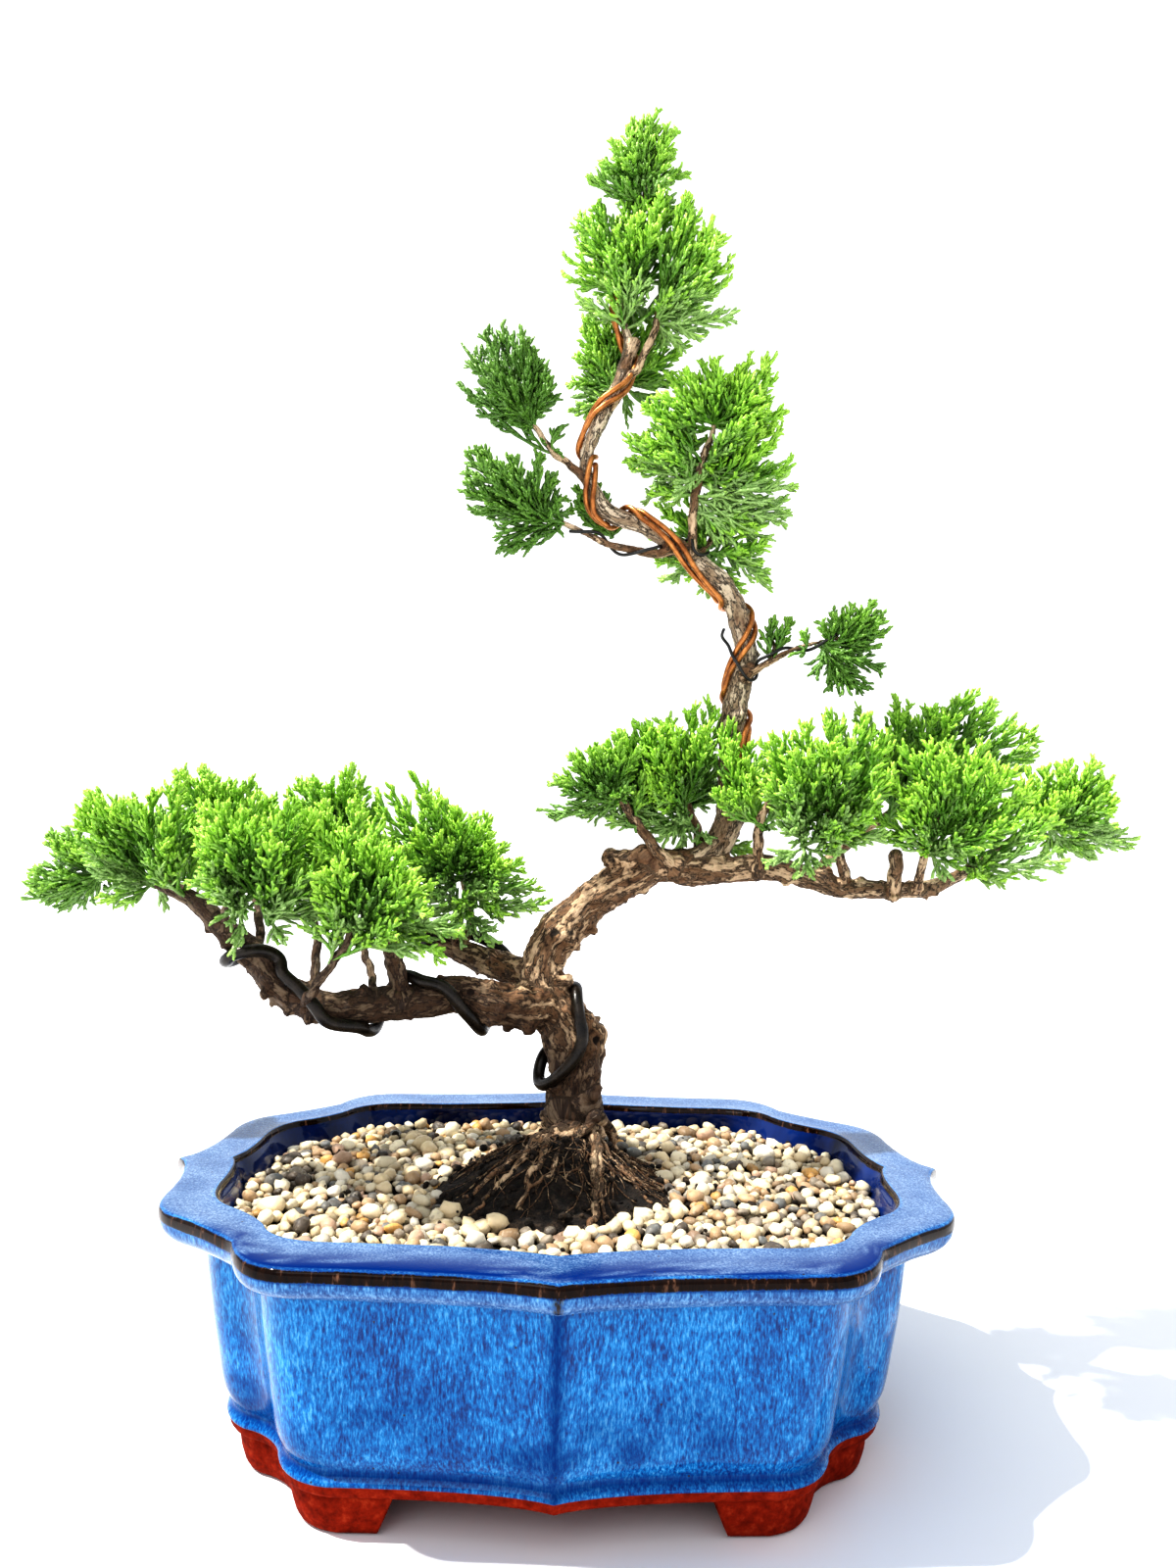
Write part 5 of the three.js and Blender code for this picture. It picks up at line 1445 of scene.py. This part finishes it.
# Each clump: its name, where it grows from, the y of its middle, its half depth, how many plumes fill it
# besides the ones that reach its outline, and that outline as (x, z) seen from the front.
CLUMPS = [
    ("left_tip", [(-120, 7, 136), (-127, 13, 136)], 20, 13, 9, [
        (-152, 130), (-151, 135), (-145, 146), (-140, 148), (-133, 147), (-126, 141), (-124, 133),
        (-129, 127), (-142, 126), (-147, 128),
    ]),
    ("left_outer", [(-98, -9, 131), (-108, -3, 134)], -8, 18, 16, [
        (-127, 151), (-122, 157), (-115, 156), (-108, 158), (-101, 160), (-95, 153), (-92, 140),
        (-96, 129), (-106, 127), (-119, 130), (-125, 139),
    ]),
    ("left_rear", [(-84, 7, 130), (-92, 16, 141)], 26, 18, 14, [
        (-119, 151), (-114, 161), (-107, 166), (-103, 163), (-98, 161), (-91, 163), (-86, 158), (-87, 142),
        (-98, 132), (-112, 133), (-118, 141),
    ]),
    ("left_front", [(-82, -22, 130), (-72, -26, 126)], -31, 16, 18, [
        (-88, 148), (-86, 156), (-81, 154), (-75, 157), (-70, 153), (-65, 157), (-60, 152), (-59, 142),
        (-59, 130), (-67, 122), (-79, 121), (-85, 127), (-89, 136),
    ]),
    ("left_back", [(-60, 20, 128), (-64, 35, 135)], 31, 18, 14, [
        (-83, 153), (-80, 162), (-74, 163), (-69, 162), (-64, 167), (-61, 163), (-56, 156), (-51, 145),
        (-54, 131), (-71, 125), (-82, 133),
    ]),
    ("left_middle", [(-51, -26, 122), (-48, -15, 130), (-57, -25, 117)], -27, 17, 18, [
        (-67, 139), (-66, 148), (-61, 150), (-55, 149), (-48, 148), (-40, 144), (-33, 136), (-27, 125),
        (-31, 119), (-37, 120), (-46, 122), (-55, 124), (-63, 127),
    ]),
    ("left_middle", [(-50, -12, 130), (-53, -18, 126)], -9, 12, 8, [
        (-74, 146), (-70, 153), (-64, 156), (-56, 155), (-49, 152), (-46, 143), (-50, 132), (-60, 126),
        (-70, 130), (-75, 138),
    ]),
    ("left_inner", [(-29, 21, 128), (-29, 18, 136)], 15, 21, 26, [
        (-57, 148), (-53, 156), (-49, 159), (-43, 164), (-36, 159), (-31, 156), (-22, 153), (-16, 146),
        (-13, 140), (-8, 133), (-8, 129), (-17, 126), (-20, 120), (-29, 120), (-40, 121), (-51, 126),
        (-58, 137),
    ]),
    ("right_fan", [(20, 5, 151), (13, 4, 158)], 3, 13, 12, [
        (-5, 155), (-4, 163), (2, 171), (7, 173), (13, 176), (19, 172), (21, 166), (21, 157), (16, 152),
        (6, 155),
    ]),
    ("right_inner", [(37, 16, 150), (33, 16, 158), (53, -3, 152)], 12, 19, 24, [
        (17, 163), (19, 178), (27, 181), (34, 184), (40, 186), (44, 180), (50, 175), (58, 171), (59, 156),
        (54, 144), (46, 141), (39, 141), (32, 145), (26, 148), (19, 155),
    ]),
    ("right_inner", [(33, 15, 156), (31, 14, 151)], 8, 10, 6, [
        (8, 161), (9, 170), (14, 177), (20, 180), (27, 180), (30, 172), (28, 160), (22, 153), (13, 153),
    ]),
    ("right_front", [(70, -8, 149), (62, -8, 148)], -17, 17, 19, [
        (50, 163), (50, 176), (55, 174), (60, 178), (68, 181), (75, 180), (81, 176), (82, 164), (79, 151),
        (68, 146), (61, 141), (52, 143),
    ]),
    ("right_back", [(84, 20, 149), (94, 26, 156)], 27, 19, 19, [
        (81, 168), (78, 184), (85, 190), (94, 191), (96, 185), (108, 186), (110, 190), (117, 192),
        (124, 189), (131, 184), (136, 180), (137, 174), (133, 166), (118, 159), (98, 155), (84, 159),
    ]),
    ("right_outer", [(94, -12, 147), (108, -4, 143)], -15, 18, 19, [
        (82, 164), (85, 172), (91, 174), (98, 174), (106, 175), (114, 171), (120, 165), (124, 155),
        (123, 145), (118, 140), (113, 139), (109, 146), (105, 141), (96, 141), (91, 146), (84, 149),
        (80, 156),
    ]),
    ("right_tip", [(121, -2, 150), (130, 0, 154)], 2, 16, 17, [
        (117, 162), (124, 169), (130, 170), (137, 171), (145, 172), (146, 168), (146, 163), (147, 158),
        (151, 153), (150, 150), (142, 148), (140, 146), (131, 144), (119, 149),
    ]),
    ("sprig", [(63, 7, 202), (70, 5, 203)], 4, 7, 8, [
        (61, 200), (64, 206), (68, 209), (72, 212), (77, 213), (83, 214), (86, 211), (86, 206), (84, 202),
        (85, 197), (80, 191), (76, 190), (72, 191), (67, 194),
    ]),
    ("crown_right_upper", [(33.5, 8, 244), (35.5, 8, 252), (39, 8, 264)], 8, 14, 22, [
        (19, 268), (26, 279), (32, 281), (36, 284), (39, 282), (43, 278), (46, 280), (48, 283), (54, 282),
        (55, 277), (54, 270), (58, 267), (58, 262), (60, 253), (58, 246), (59, 238), (53, 234), (44, 232),
        (35, 237), (28, 242), (22, 245), (16, 252), (16, 257),
    ]),
    ("crown_right_upper", [(34, 9, 246), (35, 9, 254), (36, 9, 260)], 12, 9, 8, [
        (17, 262), (24, 268), (31, 266), (34, 258), (33, 248), (28, 242), (21, 245), (16, 253),
    ]),
    ("crown_right_upper", [(34, 9, 240), (35, 9, 248), (36, 9, 256)], 11, 10, 10, [
        (37, 262), (46, 268), (56, 265), (60, 252), (58, 242), (52, 235), (44, 232), (37, 238), (35, 250),
    ]),
    ("crown_right_lower", [(38, 14, 230), (42, 17, 235)], 18, 11, 10, [
        (23, 235), (25, 244), (32, 247), (41, 243), (49, 240), (56, 232), (55, 225), (55, 221), (49, 220),
        (39, 219), (33, 221), (28, 223), (24, 227),
    ]),
    ("crown_back", [(11, 15, 273), (13, 20, 279)], 24, 12, 13, [
        (3, 301), (2, 296), (0, 288), (-2, 281), (0, 277), (-1, 273), (4, 270), (15, 270), (25, 276),
        (31, 283), (31, 291), (26, 298), (17, 302), (9, 302),
    ]),
    ("apex_lower", [(13, 11, 292), (22, 10, 293), (13, 12, 302)], 9, 16, 32, [
        (-3, 311), (0, 321), (4, 325), (13, 324), (24, 328), (33, 325), (40, 318), (42, 309), (40, 302),
        (42, 292), (35, 292), (30, 287), (25, 289), (17, 292), (8, 294), (1, 299), (-3, 306),
    ]),
    ("apex_tip", [(13, 12, 309), (14, 12, 316), (17, 12, 326), (18, 12, 334)], 13, 11, 24, [
        (20, 356), (27, 349), (27, 343), (30, 336), (31, 329), (29, 323), (20, 319), (11, 319), (2, 320),
        (0, 324), (3, 333), (6, 340), (10, 347), (14, 350), (17, 354),
    ]),
    ("apex_tip", [(14, 12, 306), (14, 12, 311)], 13, 9, 6, [
        (0, 317), (5, 326), (14, 331), (24, 329), (30, 319), (25, 310), (10, 307), (3, 310),
    ]),
    ("crown_left_upper", [(-6, 7, 254.5), (-7.5, 7, 256.5), (-12, 6, 262)], 6, 10, 16, [
        (-31.5, 272), (-30, 282), (-26, 289), (-21, 289.5), (-14, 285.5), (-9.5, 279.5), (-5, 269),
        (-3.5, 262), (-3.5, 254), (-9, 257), (-13.5, 260.5), (-18.5, 262), (-24, 265),
    ]),
    ("crown_left_lower", [(-3, 7, 235), (-7, 6, 237)], 6, 10, 11, [
        (-30, 247), (-30, 253), (-26, 254), (-18, 252), (-10, 253), (-6, 249), (-2, 243), (0, 239),
        (-3, 231), (-9, 230), (-15, 228), (-20, 227), (-21, 231), (-27, 238), (-30, 243),
    ]),
    # Small loose fans beside two of the clumps.
    ("sprig", [(56.2, 9.5, 199.5)], 11, 3, 1, [
        (61, 211), (57, 211), (52.5, 207), (53, 203), (61, 205),
    ]),
    ("crown_left_lower", [(11, 13, 233)], 12, 4, 1, [
        (0, 246), (1, 241), (3, 237), (15.5, 237), (6, 247),
    ]),
]

STEM = {"radius": 0.58, "rings": 8, "sides": 4}
CORD = {"radius": 0.55, "rings": 4, "sides": 3}
SHOOT = {"radius": 0.56, "rings": 3, "sides": 3}
NUB = {"radius": 0.52, "rings": 2, "sides": 3}

# How much darker some whole clumps are made: their painted shade is raised, and their bright tips and grey
# are dimmed.
SHADES = {
    "left_tip": 0.6, "right_fan": 0.5, "sprig": 0.8, "crown_left_upper": 1.0, "crown_left_lower": 0.95,
    "apex_tip": 0.35, "right_back": 0.2, "crown_back": 0.3,
}
GOLDEN = math.pi * (3 - math.sqrt(5))

# How thick stems, cords, shoots and nubs are at their thickest, against their radius.
TAPER = [0.86, 1.0, 1.02, 1.0]


def along(curves, places):
    """Points and directions at places (n, m), from 0 to 1, along curves (n, rings, 3)."""
    rings = curves.shape[1]
    at = places * (rings - 1)
    low = np.clip(np.floor(at).astype(int), 0, rings - 2)
    share = (at - low)[..., None]
    rows = np.arange(len(curves))[:, None]
    a, b = curves[rows, low], curves[rows, low + 1]
    return a + (b - a) * share, unit(b - a)


def side_frame(tangent):
    flat = np.where(np.abs(tangent[..., 2:3]) > 0.9, [1.0, 0.0, 0.0], [0.0, 0.0, 1.0])
    side = unit(np.cross(tangent, flat))
    return side, np.cross(tangent, side)


class Clump:
    """Grows one clump's plumes from its bases to its outline, and makes them into a mesh."""

    def __init__(self, bases, middle_y, depth, outline, shade, rng):
        self.shade = shade
        self.outline = np.array(outline, float)
        centre = self.outline.mean(axis=0)
        spokes = self.outline - centre
        turns = np.arctan2(spokes[:, 1], spokes[:, 0])
        order = np.argsort(turns)
        self.turns = turns[order]
        self.spans = np.linalg.norm(spokes, axis=1)[order]
        self.bases = np.array(bases, float)
        self.middle = np.array([centre[0], middle_y, centre[1]])
        self.depth = depth
        self.rng = rng
        self.batches = []

    def span(self, away):
        """How far the outline lies from the middle in the directions of away."""
        return np.interp(np.arctan2(away[..., 2], away[..., 0]), self.turns, self.spans, period=2 * math.pi)

    def share(self, points):
        """Offset from the middle, as a share of how far the clump reaches that way."""
        away = points - self.middle
        span = self.span(away)
        return np.stack([away[..., 0] / span, away[..., 1] / self.depth, away[..., 2] / span], axis=-1)

    def reach(self, points):
        return np.linalg.norm(self.share(points), axis=-1)

    def tips(self, fill):
        """Where the plumes end: all along the outline, and spread over the front, back and top."""
        rng = self.rng
        edge = np.insert(self.outline, 1, 0, axis=1)
        edge[:, 1] = self.middle[1] + self.depth * rng.uniform(-0.4, 0.4, len(edge))
        k = np.arange(fill)
        y = np.where(k % 5 < 3, -1, 1) * (0.38 + 0.6 * ((k * 0.618) % 1))
        turn = GOLDEN * k + rng.uniform(0, 6)
        flat = np.sqrt(1 - y * y)
        ways = np.column_stack([flat * np.cos(turn), y, flat * np.sin(turn) * 0.86 + 0.12])
        span = self.span(ways)
        spans = np.column_stack([span, np.full(fill, self.depth), span])
        inner = self.middle + ways * spans * rng.uniform(0.84, 1, (fill, 1))
        return np.concatenate([edge, inner])

    def stems(self, ends, starts):
        """Stems that leave the starts toward the clump's middle and turn to their ends."""
        rng = self.rng
        height = self.share(ends)[:, 2]
        loose = np.clip(0.15 - 1.6 * height, 0, 1) * (rng.uniform(0, 1, len(ends)) < 0.8)
        share = (0.10 + 0.62 * np.clip(0.5 + 0.6 * height, 0, 1)) * rng.uniform(0.5, 1.15, len(ends))
        control = starts + (self.middle - starts) * share[:, None]
        span = np.linalg.norm(ends - starts, axis=1, keepdims=True)
        control += (starts + ends - 2 * control) * 0.15 - UP * span * 0.10 + rng.normal(0, 0.8, control.shape)
        t = np.linspace(0, 1, STEM["rings"])[None, :, None]
        curves = (1 - t) ** 2 * starts[:, None] + 2 * t * (1 - t) * control[:, None] + t * t * ends[:, None]
        self.batches.append((curves, STEM, 0, loose))
        return curves, loose

    def side_shoots(self, parents, loose, places, spread, length, turn, form, level, least):
        """Shoots that leave the parents at the places, cut back where they would pass the clump's outline."""
        rng = self.rng
        start, tangent = along(parents, np.clip(places + rng.normal(0, 0.012, places.shape), 0.02, 0.985))
        side, other = side_frame(tangent)
        lateral = side * np.cos(turn)[..., None] + other * np.sin(turn)[..., None]
        open_by = (spread + rng.normal(0, 0.11, places.shape))[..., None]
        way = tangent * np.cos(open_by) + lateral * np.sin(open_by)
        span = length * rng.uniform(0.8, 1.2, places.shape)
        inner, outer = self.reach(start), self.reach(start + way * span[..., None])
        slack = 1.10 + 0.09 * rng.uniform(-1, 1, places.shape) + 0.10 * loose[:, None]
        room = np.where(outer > slack, (slack - inner) / np.maximum(outer - inner, 1e-3), 1.0)
        buried = outer < rng.uniform(0.22, 0.50, places.shape)
        kept = (room > 0.3) & (places < 1) & (span * room > least) & ~((level > 1) & buried)
        span = (span * np.clip(room, 0, 1))[kept][:, None, None]
        start, way, tangent = start[kept][:, None], way[kept][:, None], tangent[kept][:, None]
        s = np.linspace(0, 1, form["rings"])[None, :, None]
        outward = unit(self.share(start))
        bend = unit(tangent * 0.7 + outward * 0.3 + UP * 0.32)
        curves = start + way * span * s * (1 - 0.30 * s) + bend * span * 0.34 * s * s
        spare = np.broadcast_to(loose[:, None], places.shape)[kept]
        self.batches.append((curves, form, level, spare))
        return curves, spare

    def spots(self, parents, spacing, low, high, most):
        """Places along the parents, evenly spaced, and past 1 where there are fewer than the most."""
        length = np.linalg.norm(np.diff(parents, axis=1), axis=2).sum(axis=1)[:, None]
        count = np.clip(np.round(length * (high - low) / spacing), 2, most)
        k = np.arange(most)[None]
        places = low + (high - low) * (k + self.rng.uniform(0.2, 0.8, (len(parents), 1))) / count
        return np.where(k < count, places, 2.0), length, k

    def grow(self, ends, starts):
        rng = self.rng
        stems, loose = self.stems(ends, starts)
        places, length, k = self.spots(stems, 1.35, 0.26, 0.98, 12)
        reach = length * (0.52 - 0.37 * places) * (1 + 0.3 * loose[:, None])
        turn = k * GOLDEN + rng.uniform(0, 6.3, (len(stems), 1))
        spread = 0.72 - 0.24 * places
        cords, cord_loose = self.side_shoots(stems, loose, places, spread, reach, turn, CORD, 1, 1.6)
        for parents, spare, low in ((cords, cord_loose, 0.18), (stems, loose, 0.72)):
            places, length, k = self.spots(parents, 0.98, low, 0.97, 6)
            places = np.where(rng.uniform(0, 1, places.shape) < 0.45 * spare[:, None], 2.0, places)
            reach = np.minimum(3.7, 0.8 + 0.62 * length) * (1.08 - 0.62 * np.minimum(places, 1))
            turn = k * math.pi * 0.86 + rng.uniform(0, 6.3, (len(parents), 1))
            shoots, shoot_loose = self.side_shoots(parents, spare, places, 0.66, reach, turn, SHOOT, 2, 0.7)
            budding = self.reach(shoots[:, -1]) * rng.uniform(0.8, 1.2, len(shoots)) > 0.92
            places = np.where(budding, rng.uniform(0.3, 0.7, len(shoots)), 2.0)[:, None]
            turn = rng.uniform(0, 6.3, places.shape)
            self.side_shoots(shoots, shoot_loose, places, 0.7, np.full(places.shape, 1.5), turn, NUB, 3, 0.5)

    def tubes(self, curves, form, level):
        """Tubes along the curves, whose sides swell in turn like pairs of scale leaves."""
        rng = self.rng
        n, rings, _ = curves.shape
        sides, radius = form["sides"], form["radius"]
        tangent = unit(np.gradient(curves, axis=1))
        side = unit(np.cross(tangent, unit(rng.normal(0, 1, (n, 1, 3)))))
        other = np.cross(tangent, side)
        taper = TAPER[level] - 0.22 * np.abs(np.linspace(0, 1, rings) - 0.35)
        taper[-1] *= 0.74
        size = radius * rng.uniform(0.88, 1.12, (n, 1, 1)) * taper[None, :, None]
        swell = np.where((np.arange(sides)[None] + np.arange(rings)[:, None]) % 2 == 0, 1.13, 0.86)
        reach = size * (swell if sides == 4 else np.ones(sides))
        turn = turns_round(sides)
        skin = (
            curves[:, :, None]
            + side[:, :, None] * (np.cos(turn) * reach)[..., None]
            + other[:, :, None] * (np.sin(turn) * reach)[..., None]
        )
        point = curves[:, -1:] + tangent[:, -1:] * radius * 0.62
        verts = np.concatenate([skin.reshape(n, -1, 3), point], axis=1)
        tip = fan(rings * sides, (rings - 1) * sides + np.arange(sides))
        offsets = np.arange(n)[:, None, None] * verts.shape[1]
        quads = (grid_faces(rings, sides) + offsets).reshape(-1, 4)
        return verts.reshape(-1, 3), quads, (tip + offsets).reshape(-1, 3)

    def tones(self, curves, form, level, loose):
        """How bright, how grey and how deep in painted shade the points of the shoots are."""
        rng = self.rng
        n, rings, _ = curves.shape
        s = np.repeat(np.linspace(0, 1, rings), form["sides"])
        ends = curves[:, -1]
        length = np.linalg.norm(ends - curves[:, 0], axis=1)[:, None]
        back = np.append((1 - s) * length, np.zeros((n, 1)), axis=1)
        outer = self.reach(ends)
        height = self.share(ends)[:, 2]
        fresh = 0.74 * outer + 0.13 * height + 0.20 - 0.30 * loose + rng.normal(0, 0.10, n)
        bright = np.exp(-((back / 2.2) ** 1.3)) * (0.12 + 0.88 * smoothstep(0.45, 1.0, fresh)[:, None])
        # Grey-green on lower and loose shoots: partly the cords' glaucous bloom, partly a painted highlight.
        grey = smoothstep(0.35, 0.95, 0.45 - 0.4 * height + 0.35 * loose + rng.normal(0, 0.18, n))
        # Painted shade: the nearer a shoot ends to the clump's middle, the darker it is painted.
        painted_shade = 1 - smoothstep(0.30, 0.92, outer)
        grey, painted_shade = (np.repeat(v[:, None], back.shape[1], axis=1) for v in (grey, painted_shade))
        # Stems get more painted shade toward their bases, inside the clump.
        if level == 0:
            painted_shade = np.maximum(painted_shade, np.append(np.exp(-3.2 * s), 0))
        # Clumps listed in SHADES get more painted shade, dimmer bright tips and less grey.
        painted_shade = painted_shade + (1.25 - painted_shade) * self.shade * 0.85
        shares = bright * (1 - 0.8 * self.shade), grey * (1 - self.shade), painted_shade
        return np.stack(shares, axis=-1).reshape(-1, 3)

    def mesh_arrays(self):
        """All the shoots as one set of arrays, and the tones of their points."""
        parts, tones = [], []
        for curves, form, level, loose in self.batches:
            if len(curves):
                parts.append(self.tubes(curves, form, level))
                tones.append(self.tones(curves, form, level, loose))
        return merged(parts), np.concatenate(tones)


def make_foliage():
    material = foliage_material()
    sprays = {}
    for index, (name, bases, middle_y, depth, fill, outline) in enumerate(CLUMPS):
        rng = np.random.default_rng(100 + index)
        clump = Clump(bases, middle_y, depth, outline, SHADES.get(name, 0.0), rng)
        ends = clump.tips(fill)
        gaps = np.linalg.norm(ends[:, None] - clump.bases[None], axis=2)
        gaps += rng.uniform(0, 9, gaps.shape)
        starts = clump.bases[np.argmin(gaps, axis=1)] + rng.normal(0, 0.5, ends.shape)
        clump.grow(ends, starts)
        sprays.setdefault(name, []).append(clump.mesh_arrays())
    for name, clumps in sprays.items():
        parts, tones = zip(*clumps)
        obj = build_mesh("spray_" + name, *merged(parts), {"leaf": np.concatenate(tones)})
        finish_piece(obj, material, "foliage", "foliage_" + name)


def finish_screens():
    """Gives the frame's own drain screens their material."""
    material = screen_material()
    for side in ("left", "right"):
        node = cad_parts[f"drain_screen_{side}"]
        node.data.materials.clear()
        node.data.materials.append(material)


make_camera()
make_floor()
make_world()
make_lamps()

finish_piece(make_pot(), glaze_material(), "glaze", "pot")
finish_piece(make_soil(), soil_material(), "soil", "soil")
bark = bark_material()
finish_piece(make_wood(), bark, "bark", "tree_wood")
finish_piece(make_rootlets(), bark, "bark")
make_gravel()
make_wires()
make_foliage()
finish_screens()

for key, box in (("cad", CAD_BOX), ("visual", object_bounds())):
    [[round(v, 5) for v in corner] for corner in box]
